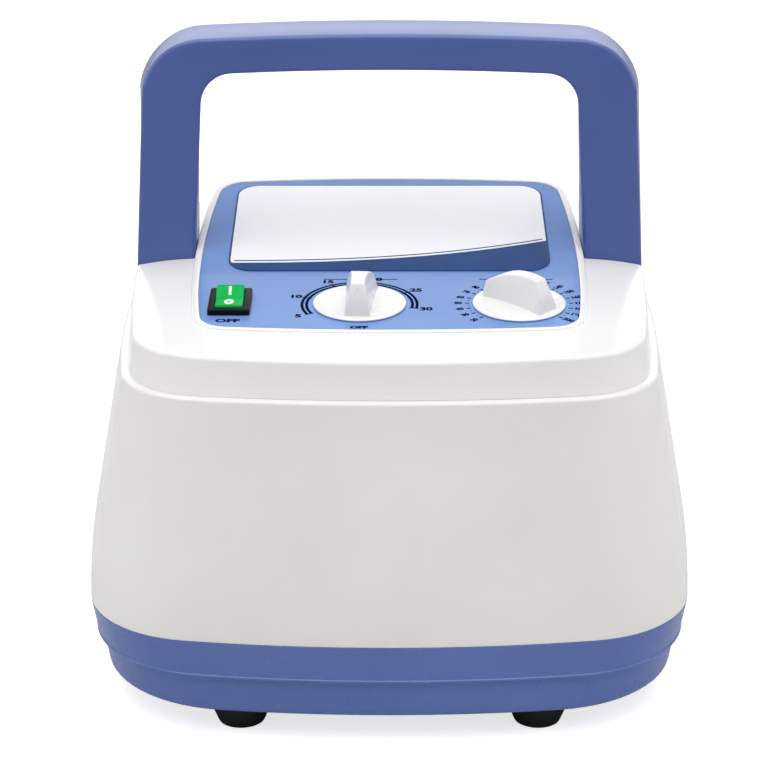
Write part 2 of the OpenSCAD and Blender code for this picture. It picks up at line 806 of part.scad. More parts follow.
// Knob with its pointer towards -Y, standing on z = 0
module knob() {
    r = knob_d / 2;
    difference() {
        union() {
            rotate_extrude($fn = 72)
                polygon([
                    [0, 0], [r - 0.3, 0], [r, 0.3], [r - 0.15, 0.9], [r - 0.7, 1.3],
                    [r * 0.45, skirt_h], [0, skirt_h]
                ]);
            intersection() {
                hull() {
                    translate([0, 0, skirt_h - 1.4]) linear_extrude(0.1) grip_plan(0);
                    translate([0, 0, knob_h]) linear_extrude(0.1) grip_plan(grip_draft);
                }
                rotate([90, 0, 90]) linear_extrude(knob_d, center = true) grip_side();
            }
        }
        translate([0, 0, -cut]) cylinder(d = shaft_d, h = knob_bore_h + cut);
        translate([0, 0, -cut]) cylinder(d = bush_d + 2.2, h = nut_h + 0.1 + cut);
    }
}

module timer_knob() {
    color("#f5f5f5") on_panel(timer_x, control_row, knob_lift) knob();
}

module pressure_knob() {
    color("#f5f5f5")
        on_panel(pressure_x, control_row, knob_lift) rotate(90 + pressure_turn) knob();
}

nut_h = 1.3;
bush_top = nut_h; // top of a bush and its nut, inside the knob's skirt
timer_depth = 30;
timer_w = 36;
timer_l = 36;
regulator_depth = 34;
regulator_d = 32;
spigot_l = regulator_d / 2 + 10; // reach of the regulator's spigot from its axis
spigot_h = 7; // height of the spigot over the regulator's lower end
collar_h = 3;

// Shaft with a collar inside its housing, in the panel's frame
module control_shaft(depth) {
    translate([0, 0, -depth]) cylinder(d = shaft_d, h = depth + shaft_top);
    translate([0, 0, -depth * 0.6]) cylinder(d = shaft_d + 6, h = collar_h);
}
module control_cavity(depth) {
    translate([0, 0, -depth - 2]) cylinder(d = shaft_d + 2 * fit, h = depth + bush_top + 4);
    translate([0, 0, -depth * 0.6 - seat])
        cylinder(d = shaft_d + 6 + 2 * seat, h = collar_h + 2 * seat);
}

module timer_shaft() {
    color("#b8bcc2") on_panel(timer_x, control_row) control_shaft(timer_depth - 6);
}
module regulator_stem() {
    color("#b8bcc2") on_panel(pressure_x, control_row) control_shaft(regulator_depth - 8);
}

module timer_body() {
    color("#d8cfae")
        on_panel(timer_x, control_row)
            difference() {
                union() {
                    translate([-timer_w / 2, -timer_l / 2, -timer_depth])
                        cube([timer_w, timer_l, timer_depth + deck_under]);
                    translate([0, 0, deck_under - cut])
                        cylinder(d = bush_d, h = bush_top - deck_under + cut);
                    for (x = [-12, 0, 12])
                        translate([x - 0.4, -3, -timer_depth - 7]) cube([0.8, 6, 8]);
                }
                control_cavity(timer_depth - 6);
            }
}

module regulator_body() {
    color("#c6c9cc")
        on_panel(pressure_x, control_row)
            difference() {
                union() {
                    translate([0, 0, -regulator_depth])
                        cylinder(d = regulator_d, h = regulator_depth + deck_under);
                    translate([0, 0, deck_under - cut])
                        cylinder(d = bush_d, h = bush_top - deck_under + cut);
                    translate([0, 0, spigot_h - regulator_depth])
                        rotate([-90, 0, 0]) cylinder(d = port_d, h = spigot_l);
                }
                control_cavity(regulator_depth - 8);
            }
}

module control_nut() {
    difference() {
        cylinder(d = bush_d + 1.6, h = nut_h);
        translate([0, 0, -cut]) cylinder(d = bush_d, h = nut_h + 2 * cut);
    }
}
module timer_nut() {
    color("#b8bcc2") on_panel(timer_x, control_row) control_nut();
}
module regulator_nut() {
    color("#b8bcc2") on_panel(pressure_x, control_row) control_nut();
}

// ---- Feet and screws ----

module rubber_feet() {
    color("#16181a")
        four_corners(foot_pitch_x / 2, foot_pitch_y / 2)
            difference() {
                rotate_extrude()
                    polygon([
                        [0, 0], [foot_d / 2 - 4.4, 0], [foot_d / 2 - 3.6, 0.5],
                        [foot_d / 2 - 0.6, foot_h - 3], [foot_d / 2, foot_h - 2],
                        [foot_d / 2, foot_h], [0, foot_h]
                    ]);
                translate([0, 0, -cut]) cylinder(d = 8, h = foot_h - 4 + cut);
                translate([0, 0, -cut]) cylinder(d = 4, h = foot_h + 2 * cut);
            }
}
module foot_screws() {
    color("#b8bcc2")
        four_corners(foot_pitch_x / 2, foot_pitch_y / 2, foot_h - 4 - 2.4)
            screw(3.5, foot_boss_h + wall + 1.5, 6.6, 2.4);
}
module housing_screws() {
    color("#b8bcc2")
        four_corners(post_x, post_y, post_seat_z - post_head_h)
            screw(post_screw_d - 0.4, post_top - post_seat_z + 22, post_head_d, post_head_h);
}
module handle_screws() {
    color("#b8bcc2")
        mirror_x()
            for (s = [-1, 1])
                translate([leg_mid_x, s * leg_screw_pitch / 2, socket_z - wall - 2.6])
                    screw(leg_screw_d, socket_depth + wall, 7.4, 2.6);
}

// ---- Rear fittings ----

socket_nose = 5; // how far an outlet stands out of the bay's floor
tail_l = 9;

module outlet_sockets() {
    color("#3a3c42")
        for (i = [0:3])
            translate([outlet_x(i), bay_y, rear_row_z])
                rotate([-90, 0, 0])
                    difference() {
                        union() {
                            cylinder(d = outlet_thread_d + 3.4, h = 1.8);
                            cylinder(d = outlet_thread_d + 0.4, h = socket_nose);
                            translate([0, 0, socket_nose - outlet_depth - 3])
                                cylinder(d = outlet_thread_d, h = outlet_depth + 3);
                            translate([0, 0, socket_nose - outlet_depth - 3 - tail_l])
                                cylinder(d = 5, h = tail_l + cut);
                        }
                        translate([0, 0, socket_nose - outlet_depth])
                            cylinder(d = outlet_bore, h = outlet_depth + cut);
                        translate([0, 0, socket_nose - outlet_depth - 3 - tail_l - cut])
                            cylinder(d = 2.6, h = tail_l + 6);
                    }
}
module outlet_nuts() {
    color("#3a3c42")
        for (i = [0:3])
            translate([outlet_x(i), bay_y - bay_wall - 3, rear_row_z])
                rotate([-90, 0, 0])
                    difference() {
                        cylinder(d = 16.5, h = 3, $fn = 6);
                        translate([0, 0, -cut]) cylinder(d = outlet_thread_d, h = 3 + 2 * cut);
                    }
}

// Mains inlet with a fuse drawer under the socket, in its own frame: y out of the bay
socket_w = 24.4;
socket_h = 16.6;
socket_d = 17;
inlet_depth = 22;
flange_t = 3;
socket_up = 5.6; // centre of the socket over the inlet's centre
drawer_up = -10.2; // centre of the drawer
drawer_w = 22;
drawer_h = 7;
module at_inlet() {
    translate([inlet_x, bay_y, rear_row_z]) children();
}
module inlet_box(w, h, y0, y1, up = 0) {
    translate([-w / 2, y0, up - h / 2]) cube([w, y1 - y0, h]);
}
module power_inlet() {
    color("#1e1f22")
        at_inlet()
            difference() {
                union() {
                    inlet_box(inlet_plate_w, inlet_h + 3, 0, flange_t);
                    inlet_box(inlet_w, inlet_h, flange_t - inlet_depth, flange_t);
                }
                inlet_box(socket_w, socket_h, flange_t - socket_d, flange_t + cut, socket_up);
                inlet_box(drawer_w, drawer_h, flange_t - socket_d, flange_t + cut, drawer_up);
                for (s = [-1, 1])
                    translate([s * inlet_screw_x, flange_t + cut, 0])
                        rotate([90, 0, 0]) cylinder(d = 3.4, h = flange_t + 2 * cut);
            }
}
module inlet_pins() {
    color("#c8ccd0")
        at_inlet()
            for (p = [[-7, -2], [0, 2], [7, -2]])
                translate([p[0] - 1, flange_t - socket_d, socket_up + p[1] - 2])
                    cube([2, 12, 4]);
}
module inlet_screws() {
    color("#b8bcc2")
        at_inlet()
            for (s = [-1, 1])
                translate([s * inlet_screw_x, flange_t + 1.6, 0])
                    rotate([90, 0, 0]) screw(3, flange_t + bay_wall + 4, 5.8, 1.6);
}
module fuse_drawer() {
    color("#26272b")
        at_inlet() {
            inlet_box(drawer_w - 0.4, drawer_h - 0.4, flange_t - socket_d, flange_t, drawer_up);
            inlet_box(drawer_w - 8, drawer_h - 3, flange_t - cut, flange_t + 1, drawer_up);
        }
}

// ---- Compressor ----

plate_t = 8;
plate_z = floor_z + mount_h;
plate_top = plate_z + plate_t;
axis_z = plate_top + cyl_bore / 2 + 17;
cyl_len = 34;
cyl_wall = 10;
head_t = 9;
cyl_x1 = comp_l / 2 - 6 - head_t; // outer end of the cylinder
cyl_x0 = cyl_x1 - cyl_len;
bracket_x = -comp_l / 2 + 6;
bracket_t = 10;
guide_d = 8;
core_l = 50; // along the piston's axis
core_h = 36;
core_x = (cyl_x0 + bracket_x + bracket_t) / 2;
pole_l = 14;
slot_l = 8;
end_pole = (core_l - pole_l - 2 * slot_l) / 2;
pole_d = 16;
yoke_d = 10;
bar_half = 8; // half thickness of the armature
air_gap = 0.6;
head_screw_r = (cyl_bore / 2 + 3.6) * sqrt(2); // the head's screws stand in its corners
head_port_l = 10;
head_screw_d = 4;
head_screw_grip = 8; // how far the head's screws reach into the frame
cyl_cheek = 8; // material over the bore
filter_d = 26;
filter_h = 14;
filter_cap_h = 3;

module at_comp() {
    translate([0, comp_y, axis_z]) children();
}
module along_x(x) {
    translate([x, 0, 0]) rotate([0, 90, 0]) children();
}

module rubber_mounts() {
    color("#1c1d1f")
        for (sx = [-1, 1], sy = [-1, 1])
            translate([sx * comp_mount_x, comp_y + sy * comp_mount_y, floor_z])
                difference() {
                    rotate_extrude()
                        polygon([
                            [0, 0], [8, 0], [8, mount_h * 0.25], [6.4, mount_h * 0.5],
                            [8, mount_h * 0.75], [8, mount_h], [0, mount_h]
                        ]);
                    translate([0, 0, -cut]) cylinder(d = 7 + 2 * seat, h = mount_h * 0.6 + seat + cut);
                }
}

module compressor_frame() {
    color("#aab0b5")
        difference() {
            union() {
                translate([-comp_l / 2, comp_y - comp_w / 2, plate_z])
                    cube([comp_l, comp_w, plate_t]);
                translate([cyl_x0, comp_y - cyl_bore / 2 - cyl_wall, plate_top - cut])
                    cube([cyl_len, cyl_bore + 2 * cyl_wall, axis_z + cyl_bore / 2 + cyl_cheek - plate_top + cut]);
                translate([bracket_x, comp_y - 20, plate_top - cut])
                    cube([bracket_t, 40, axis_z + 14 - plate_top + cut]);
            }
            at_comp() {
                along_x(cyl_x0 - cut) cylinder(d = cyl_bore, h = cyl_len + 2 * cut, $fn = 96);
                along_x(bracket_x - cut)
                    cylinder(d = guide_d + 2 * fit, h = bracket_t + 2 * cut);
                for (a = [45:90:315])
                    rotate([a, 0, 0])
                        translate([cyl_x1 - head_screw_grip - 2, head_screw_r, 0])
                            rotate([0, 90, 0])
                                cylinder(d = head_screw_d, h = head_screw_grip + 2 + cut);
            }
            for (i = [-3:3])
                translate([cyl_x0 + cyl_len / 2 + i * 4.6 - 1, comp_y - 40, axis_z + cyl_bore / 2 + 4])
                    cube([2, 80, 5]);
            for (sx = [-1, 1])
                translate([sx * 14 - 10, comp_y - 20, plate_z - cut]) cube([20, 40, 4 + cut]);
        }
}

// One E-shaped core, its poles towards +Y
module core_half() {
    translate([core_x, 0, -core_h / 2])
        linear_extrude(core_h)
            difference() {
                translate([-core_l / 2, -pole_d - yoke_d]) square([core_l, pole_d + yoke_d]);
                for (s = [-1, 1])
                    translate([s * (pole_l + slot_l) / 2 - slot_l / 2, -pole_d])
                        square([slot_l, pole_d + cut]);
            }
    translate([core_x - core_l / 2, -pole_d - yoke_d, plate_top - axis_z])
        cube([core_l, yoke_d, axis_z - core_h / 2 - plate_top]);
}
module both_sides_y() {
    translate([0, -bar_half - air_gap, 0]) children();
    mirror([0, 1, 0]) translate([0, -bar_half - air_gap, 0]) children();
}
module stator_cores() {
    color("#6d7176") at_comp() both_sides_y() core_half();
}
module stator_coils() {
    gap = 0.3;
    coil_w = slot_l - 2 * gap;
    color("#b4642c")
        at_comp()
            both_sides_y()
                translate([core_x, -pole_d + gap, 0])
                    rotate([-90, 0, 0])
                        linear_extrude(pole_d - 3)
                            difference() {
                                square([pole_l + 2 * gap + 2 * coil_w, core_h + 2 * gap + 2 * coil_w],
                                    center = true);
                                square([pole_l + 2 * gap, core_h + 2 * gap], center = true);
                            }
}
piston_len = 19;
piston_x = cyl_x0 + piston_stroke + 2; // inner face of the piston's head
module piston() {
    color("#c9ced2")
        at_comp() {
            along_x(bracket_x - piston_stroke - 2)
                cylinder(d = guide_d, h = core_x - core_l / 2 + 3 - bracket_x + piston_stroke + 2);
            translate([core_x - core_l / 2 + 2, -bar_half, -core_h / 2 + 4])
                cube([core_l - 4, 2 * bar_half, core_h - 8]);
            along_x(core_x + core_l / 2 - 3)
                cylinder(d = 12, h = piston_x - core_x - core_l / 2 + 4);
            along_x(piston_x)
                difference() {
                    cylinder(r = cyl_bore / 2 - piston_play, h = piston_len, $fn = 96);
                    for (h = [4, 12])
                        translate([0, 0, h])
                            difference() {
                                cylinder(d = cyl_bore + 2, h = 1.6);
                                translate([0, 0, -cut]) cylinder(d = cyl_bore - 2, h = 4);
                            }
                }
        }
}
module cylinder_head() {
    color("#9aa0a6")
        at_comp()
            difference() {
                union() {
                    along_x(cyl_x1)
                        translate([-cyl_bore / 2 - cyl_cheek, -cyl_bore / 2 - cyl_cheek, 0])
                            cube([cyl_bore + 2 * cyl_cheek, cyl_bore + 2 * cyl_cheek, head_t]);
                    translate([cyl_x1 + head_t / 2, 0, cyl_bore / 2 + cyl_cheek - cut])
                        cylinder(d = port_d, h = head_port_l + cut);
                    translate([cyl_x1 + head_t / 2, cut - cyl_bore / 2 - cyl_cheek, 0])
                        rotate([90, 0, 0]) cylinder(d = port_d, h = head_port_l + cut);
                }
                for (a = [45:90:315])
                    rotate([a, 0, 0])
                        translate([cyl_x1 - cut, head_screw_r, 0])
                            rotate([0, 90, 0])
                                cylinder(d = head_screw_d + 0.2, h = head_t + 2 * cut);
            }
}
module head_screws() {
    color("#70757a")
        at_comp()
            for (a = [45:90:315])
                rotate([a, 0, 0])
                    translate([cyl_x1 + head_t + 3, head_screw_r, 0])
                        rotate([0, -90, 0])
                            screw(head_screw_d - 0.1, head_t + head_screw_grip, 7, 3);
}
module intake_filter() {
    color("#e2e2dc")
        translate([cyl_x0 + cyl_len / 2, comp_y, axis_z + cyl_bore / 2 + cyl_cheek]) {
            cylinder(d = filter_d, h = filter_h);
            translate([0, 0, filter_h]) cylinder(d = filter_d - 4, h = filter_cap_h);
        }
}

// ---- Distributor ----

motor_d = dist_d - 8;
cup_z = floor_z + motor_h;
cup_floor = 4;
rotor_gap = 0.3;
cup_h = cup_floor + rotor_h + 2 * rotor_gap;
lid_z = cup_z + cup_h;
lid_h = 5;
rotor_d = dist_d - 12;
rotor_shaft_d = 5;
port_r = 13.6;
port_l = 9;
port_d = 5;
port_turn = 22.5; // turns the ports so that no two stand behind each other

module at_dist(z) {
    translate([dist_x, dist_y, z]) children();
}
module distributor_motor() {
    color("#a9adb0")
        at_dist(floor_z)
            difference() {
                union() {
                    cylinder(d = motor_d, h = motor_h);
                    for (s = [-1, 1])
                        translate([s * (motor_d / 2) - 5, -5, 0]) cube([10, 10, 1.6]);
                }
                translate([0, 0, motor_h - 10])
                    cylinder(d = rotor_shaft_d + 2 * fit, h = 10 + cut);
            }
}
module distributor_body() {
    color("#e8e6df")
        at_dist(cup_z)
            difference() {
                union() {
                    cylinder(d = dist_d, h = cup_h, $fn = 64);
                    translate([dist_d / 2 - cut, 0, cup_h / 2])
                        rotate([0, 90, 0]) cylinder(d = port_d, h = port_l + cut);
                }
                translate([0, 0, cup_floor])
                    cylinder(d = rotor_d + 2 * seat, h = cup_h, $fn = 64);
                translate([0, 0, -cut])
                    cylinder(d = rotor_shaft_d + 2 * fit, h = cup_h);
            }
}
module distributor_rotor() {
    color("#d9a441")
        at_dist(cup_z + cup_floor + rotor_gap)
            difference() {
                union() {
                    cylinder(d = rotor_d, h = rotor_h, $fn = 64);
                    translate([0, 0, -cup_floor - rotor_gap - 8])
                        cylinder(d = rotor_shaft_d, h = cup_floor + rotor_gap + 9);
                }
                translate([port_r, 0, 2]) cylinder(d = port_d, h = rotor_h);
                for (a = [40:20:320])
                    rotate(a)
                        translate([port_r, 0, rotor_h - 3]) cylinder(d = 2.6, h = 4);
            }
}
module distributor_lid() {
    color("#e8e6df")
        at_dist(lid_z) {
            cylinder(d = dist_d, h = lid_h, $fn = 64);
            for (a = [0:90:270])
                rotate(a + port_turn)
                    translate([port_r, 0, lid_h - cut]) cylinder(d = port_d, h = port_l + cut);
        }
}

// ---- Hoses: each bends through its own few points ----

hose_d = 6;

// Point and direction at t on the smooth path that four points p steer
function bezier(p, t) =
    pow(1 - t, 3) * p[0] + 3 * pow(1 - t, 2) * t * p[1] + 3 * (1 - t) * t * t * p[2]
    + t * t * t * p[3];
function bezier_dir(p, t) =
    pow(1 - t, 2) * (p[1] - p[0]) + 2 * (1 - t) * t * (p[2] - p[1]) + t * t * (p[3] - p[2]);
function unit(v) = v / norm(v);

// Tube along a bezier. Its rings keep one side square to the plane through p's ends, so that
// they don't twist, and its last ring is square to finish_dir.
module hose(p, finish_dir, n = 8, steps = 16) {
    flat = unit(cross(p[1] - p[0], p[3] - p[0]));
    skin([for (j = [0:steps])
        let (
            c = bezier(p, j / steps),
            d = j == steps ? finish_dir : unit(bezier_dir(p, j / steps)),
            side = unit(flat - (flat * d) * d),
            up = cross(d, side)
        )
        [for (i = [0:n - 1]) c + hose_d / 2 * (cos(360 * i / n) * side + sin(360 * i / n) * up)]]);
}

lid_port_z = lid_z + lid_h + port_l;
tail_y = bay_y + socket_nose - outlet_depth - 3 - tail_l; // ends of the outlets' tails
port_order = [2, 1, 3, 0]; // lid ports from left to right

module air_hoses() {
    color("#cfe0e8")
        for (i = [0:3]) {
            a = port_turn + 90 * port_order[i];
            start = [dist_x + port_r * cos(a), dist_y + port_r * sin(a), lid_port_z];
            finish = [outlet_x(i), tail_y, rear_row_z];
            hose([start, start + [0, 0, 50], finish + [0, -75, 28], finish], [0, 1, 0]);
        }
}

module supply_hose() {
    color("#cfe0e8") {
        start = [cyl_x1 + head_t / 2, comp_y - cyl_bore / 2 - cyl_cheek - head_port_l, axis_z];
        finish = [dist_x + dist_d / 2 + port_l, dist_y, cup_z + cup_h / 2];
        hose([start, start + [0, -44, 0], finish + [38, 0, 0], finish], [-1, 0, 0]);
    }
}

module regulator_hose() {
    color("#cfe0e8") {
        start = [cyl_x1 + head_t / 2, comp_y, axis_z + cyl_bore / 2 + cyl_cheek + head_port_l];
        finish = panel_point(pressure_x, control_row + spigot_l, spigot_h - regulator_depth);
        along = [0, cos(front_tilt), sin(front_tilt)];
        hose([start, start + [0, 0, 16], finish + 18 * along, finish], -along);
    }
}

// ---- Control board ----

board_z = floor_z + board_post_h;
module control_board() {
    color("#2f7a4a")
        translate([board_x, board_y, board_z])
            difference() {
                translate([-board_w / 2, -board_l / 2, 0]) cube([board_w, board_l, board_t]);
                four_corners(board_hole_x, board_hole_y, -cut)
                    cylinder(d = board_screw_d + 0.8, h = board_t + 2 * cut);
            }
}
relay_size = [19, 15.5, 15];
terminal_size = [24, 9, 11];
terminal_pitch = terminal_size.x / 4;
module board_relay() {
    color("#2458a8")
        translate([board_x - board_w / 2 + 7, board_y - board_l / 2 + 3, board_z + board_t])
            cube(relay_size);
}
module terminal_block() {
    color("#3f8f5c")
        translate([board_x + board_hole_x - 4 - terminal_size.x, board_y - board_l / 2 + 4,
                board_z + board_t])
            difference() {
                cube(terminal_size);
                for (i = [0:3])
                    translate([(i + 0.5) * terminal_pitch, terminal_size.y / 2, 6])
                        cylinder(d = 4, h = terminal_size.z);
            }
}
module board_screws() {
    color("#b8bcc2")
        translate([board_x, board_y, board_z + board_t])
            four_corners(board_hole_x, board_hole_y, 2)
                rotate([180, 0, 0]) screw(board_screw_d, board_t + 5, 5.4, 2);
}

base_pan();
lower_housing();
top_cover();
carry_handle();
panel_overlay();
label_plate();
switch_body();
switch_rocker();
switch_terminals();
timer_knob();
timer_shaft();
timer_body();
timer_nut();
pressure_knob();
regulator_stem();
regulator_body();
regulator_nut();
rubber_feet();
foot_screws();
housing_screws();
handle_screws();
outlet_panel();
outlet_sockets();
outlet_nuts();
power_inlet();
inlet_pins();
inlet_screws();
fuse_drawer();
rubber_mounts();
compressor_frame();
stator_cores();
stator_coils();
piston();
cylinder_head();
head_screws();
intake_filter();
distributor_motor();
distributor_body();
distributor_lid();
distributor_rotor();
air_hoses();
supply_hose();
regulator_hose();
control_board();
board_relay();
terminal_block();
board_screws();
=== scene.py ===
import bpy, bmesh
import numpy as np
from math import atan2, cos, pi, radians, sin, sqrt, tan
from mathutils import Matrix, Vector


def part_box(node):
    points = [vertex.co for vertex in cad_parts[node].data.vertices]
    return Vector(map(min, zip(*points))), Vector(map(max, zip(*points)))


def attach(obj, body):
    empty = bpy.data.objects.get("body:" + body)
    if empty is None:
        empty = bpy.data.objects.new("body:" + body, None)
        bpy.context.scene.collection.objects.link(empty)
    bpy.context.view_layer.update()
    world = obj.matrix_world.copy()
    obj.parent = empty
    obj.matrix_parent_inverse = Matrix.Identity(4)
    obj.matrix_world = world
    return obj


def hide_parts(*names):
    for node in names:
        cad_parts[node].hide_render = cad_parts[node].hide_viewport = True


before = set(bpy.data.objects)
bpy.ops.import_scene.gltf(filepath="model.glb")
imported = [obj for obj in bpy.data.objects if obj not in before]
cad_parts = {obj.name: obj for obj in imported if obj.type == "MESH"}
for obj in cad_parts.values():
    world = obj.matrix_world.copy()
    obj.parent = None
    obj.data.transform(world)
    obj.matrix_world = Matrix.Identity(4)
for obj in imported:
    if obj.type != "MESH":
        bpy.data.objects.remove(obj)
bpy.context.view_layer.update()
mm = 0.001

# ---- small tools ----


def addNode(tree, kind, inputs=None, **settings):
    node = tree.nodes.new(kind)
    for key, value in settings.items():
        setattr(node, key, value)
    for key, value in (inputs or {}).items():
        if isinstance(value, bpy.types.NodeSocket):
            tree.links.new(value, node.inputs[key])
        else:
            node.inputs[key].default_value = value
    return node


def hexColour(code):
    parts = [int(code[i:i + 2], 16) / 255 for i in (1, 3, 5)]
    linear = [c / 12.92 if c < 0.04045 else ((c + 0.055) / 1.055) ** 2.4 for c in parts]
    return (*linear, 1.0)


def boxMm(node):
    low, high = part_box(node)
    return low / mm, high / mm


def newObject(name, data):
    piece = bpy.data.objects.new(name, data)
    bpy.context.scene.collection.objects.link(piece)
    return piece


def fromPoints(name, points, faces, turned=True):
    # points in mm; faces are turned outwards when the mesh is closed
    mesh = bpy.data.meshes.new(name)
    mesh.from_pydata([Vector(p) * mm for p in points], [], faces)
    if turned:
        shape = bmesh.new()
        shape.from_mesh(mesh)
        bmesh.ops.remove_doubles(shape, verts=shape.verts, dist=1e-7)
        bmesh.ops.recalc_face_normals(shape, faces=shape.faces)
        shape.to_mesh(mesh)
        shape.free()
    return newObject(name, mesh)


def loft(name, rings, looped=False, folded=False):
    # rings are arrays of points in mm, all with the same count; open rows get flat or folded ends
    count, rows = len(rings[0]), len(rings)
    faces = []
    for j in range(rows if looped else rows - 1):
        for i in range(count):
            a, b = j * count + i, j * count + (i + 1) % count
            k = (j + 1) % rows * count
            faces.append((a, b, k + (i + 1) % count, k + i))
    if not looped:
        for end in foldedEnds(count) if folded else [range(count)]:
            faces.append(tuple(end)[::-1])
            faces.append(tuple((rows - 1) * count + i for i in end))
    return fromPoints(name, np.concatenate(rings), faces)


def revolve(name, profile, steps=48):
    # profile is a list of (radius, height) in mm; a radius of 0 closes the pole
    points, rows = [], []
    for r, z in profile:
        if r < 1e-6:
            rows.append([len(points)] * steps)
            points.append((0, 0, z))
        else:
            rows.append([len(points) + i for i in range(steps)])
            points += [(r * cos(2 * pi * i / steps), r * sin(2 * pi * i / steps), z) for i in range(steps)]
    faces = []
    for low, high in zip(rows, rows[1:]):
        for i in range(steps):
            k = (i + 1) % steps
            face = list(dict.fromkeys([low[i], low[k], high[k], high[i]]))
            if len(face) > 2:
                faces.append(face)
    return fromPoints(name, points, faces)


def applied(piece):
    # the evaluated mesh, in place of the modifiers
    scene = bpy.context.evaluated_depsgraph_get()
    mesh = bpy.data.meshes.new_from_object(piece.evaluated_get(scene))
    piece.modifiers.clear()
    piece.data = mesh
    return piece


def bevelled(piece, width, segments=3, angle=30):
    bevel = piece.modifiers.new("edges", "BEVEL")
    bevel.width, bevel.segments = width * mm, segments
    bevel.limit_method, bevel.angle_limit = "ANGLE", radians(angle)
    bevel.use_clamp_overlap = True
    return applied(piece)


def combined(piece, other, operation="DIFFERENCE"):
    join = piece.modifiers.new("join", "BOOLEAN")
    join.object, join.operation, join.solver = other, operation, "EXACT"
    applied(piece)
    bpy.data.objects.remove(other)
    return piece


def placed(piece, matrix):
    # moves the mesh, not the object, by a matrix whose shift is in mm
    rows = matrix.copy()
    rows.translation = rows.translation * mm
    piece.data.transform(rows)
    return piece


def shift(x=0, y=0, z=0):
    return Matrix.Translation((x, y, z))


def spun(angle, axis="Z"):
    return Matrix.Rotation(angle, 4, axis)


def joined(name, parts):
    shape = bmesh.new()
    for part in parts:
        shape.from_mesh(part.data)
        bpy.data.objects.remove(part)
    mesh = bpy.data.meshes.new(name)
    shape.to_mesh(mesh)
    shape.free()
    return newObject(name, mesh)


def dressed(piece, material, body="root", replaces=(), sharp=32):
    piece.data.materials.clear()
    piece.data.materials.append(material)
    piece.data.shade_smooth()
    piece.data.set_sharp_from_angle(angle=radians(sharp))
    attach(piece, body)
    if replaces:
        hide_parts(*replaces)
    return piece


def roundBlock(name, width, depth, height, radius, edge=0.0, steps=6):
    # upright block on z = 0 with round corners and a soft top edge, in mm
    def ring(inset, z):
        r = max(radius - inset, 0.05)
        w, d = width / 2 - inset - r, depth / 2 - inset - r
        turn = [(k, q) for q in range(4) for k in range(steps + 1)]
        signs = [(1, 1), (-1, 1), (-1, -1), (1, -1)]
        return np.array([(signs[q][0] * w + r * cos(pi / 2 * (q + k / steps)),
            signs[q][1] * d + r * sin(pi / 2 * (q + k / steps)), z) for k, q in turn])
    rings = [ring(0, 0), ring(0, height - edge)]
    if edge:
        rings += [ring(edge * (1 - cos(a)), height - edge + edge * sin(a))
            for a in np.linspace(0, pi / 2, 5)[1:]]
    return loft(name, rings)


# ---- materials ----


def makeFinish(name, dark, light, patch, roughness, spread=0.04, grain=1.2, depth=0.004, pattern="noise",
        stretch=(1, 1, 1), **shader):
    # dark and light are the two tones, patch and grain are sizes in mm, depth is the relief in mm
    material = bpy.data.materials.new(name)
    material.use_nodes = True
    tree = material.node_tree
    surface = tree.nodes["Principled BSDF"]
    for key, value in shader.items():
        surface.inputs[key.replace("_", " ")].default_value = value
    place = addNode(tree, "ShaderNodeTexCoord").outputs["Object"]
    place = addNode(tree, "ShaderNodeMapping", {"Vector": place, "Scale": stretch}).outputs[0]
    tones = addNode(tree, "ShaderNodeTexNoise", {"Vector": place, "Scale": 1 / (patch * mm),
        "Detail": 4.0}).outputs["Fac"]
    if pattern == "bands":
        relief = addNode(tree, "ShaderNodeTexWave", {"Vector": place, "Scale": 0.05 / (grain * mm),
            "Distortion": 0.4}).outputs["Fac"]
    elif pattern == "cells":
        relief = addNode(tree, "ShaderNodeTexVoronoi",
            {"Vector": place, "Scale": 1 / (grain * mm)}).outputs[0]
    else:
        relief = addNode(tree, "ShaderNodeTexNoise", {"Vector": place, "Scale": 1 / (grain * mm),
            "Detail": 2.0}).outputs["Fac"]
    tone = addNode(tree, "ShaderNodeMapRange", {"Value": tones, "From Min": 0.3, "From Max": 0.7})
    mix = addNode(tree, "ShaderNodeMix", {0: tone.outputs[0], 6: hexColour(dark), 7: hexColour(light)},
        data_type="RGBA")
    gloss = addNode(tree, "ShaderNodeMapRange", {"Value": relief, "To Min": roughness - spread,
        "To Max": roughness + spread})
    bump = addNode(tree, "ShaderNodeBump", {"Height": relief, "Distance": depth * mm})
    tree.links.new(mix.outputs[2], surface.inputs["Base Color"])
    tree.links.new(gloss.outputs[0], surface.inputs["Roughness"])
    tree.links.new(bump.outputs[0], surface.inputs["Normal"])
    return material


# gloss moulded ABS: an even, slightly warm white with a clear but soft reflection
whiteAbs = makeFinish("whiteAbs", "#EBE9E5", "#F0EFEB", 60, 0.19, 0.02, 9.0, 0.004, IOR=1.53)
# the housing's white ABS again, painted a shade lighter: painted light, for the cover's top that the lamp
# above lights more brightly
coverAbsPaintedLight = makeFinish("coverAbsPaintedLight", "#F1F0ED", "#F6F5F3", 60, 0.19, 0.02, 9.0, 0.004, IOR=1.53)
# the same ABS coloured blue: the tone drifts a little over the moulding
blueAbs = makeFinish("blueAbs", "#5068AA", "#576FB2", 45, 0.27, 0.03, 9.0, 0.004, IOR=1.53)
# the handle's blue, set darker to meet the photograph's tones
handleAbs = makeFinish("handleAbs", "#3F5599", "#465DA2", 45, 0.25, 0.03, 9.0, 0.004, IOR=1.53)
# reverse-printed polycarbonate film: pale blue under a clear gloss skin
panelFilm = makeFinish("panelFilm", "#6A8ECB", "#7094D1", 30, 0.22, 0.04, 2.0, 0.0004,
    Specular_IOR_Level=0.22)
# white print under the same clear skin
labelFilm = makeFinish("labelFilm", "#FAFBFC", "#FDFDFE", 30, 0.24, 0.04, 2.0, 0.0004,
    Specular_IOR_Level=0.3)
# navy print under it, on the label
navyInk = makeFinish("navyInk", "#1F3F73", "#224985", 12, 0.26, 0.04, 0.5, 0.001, Specular_IOR_Level=0.12)
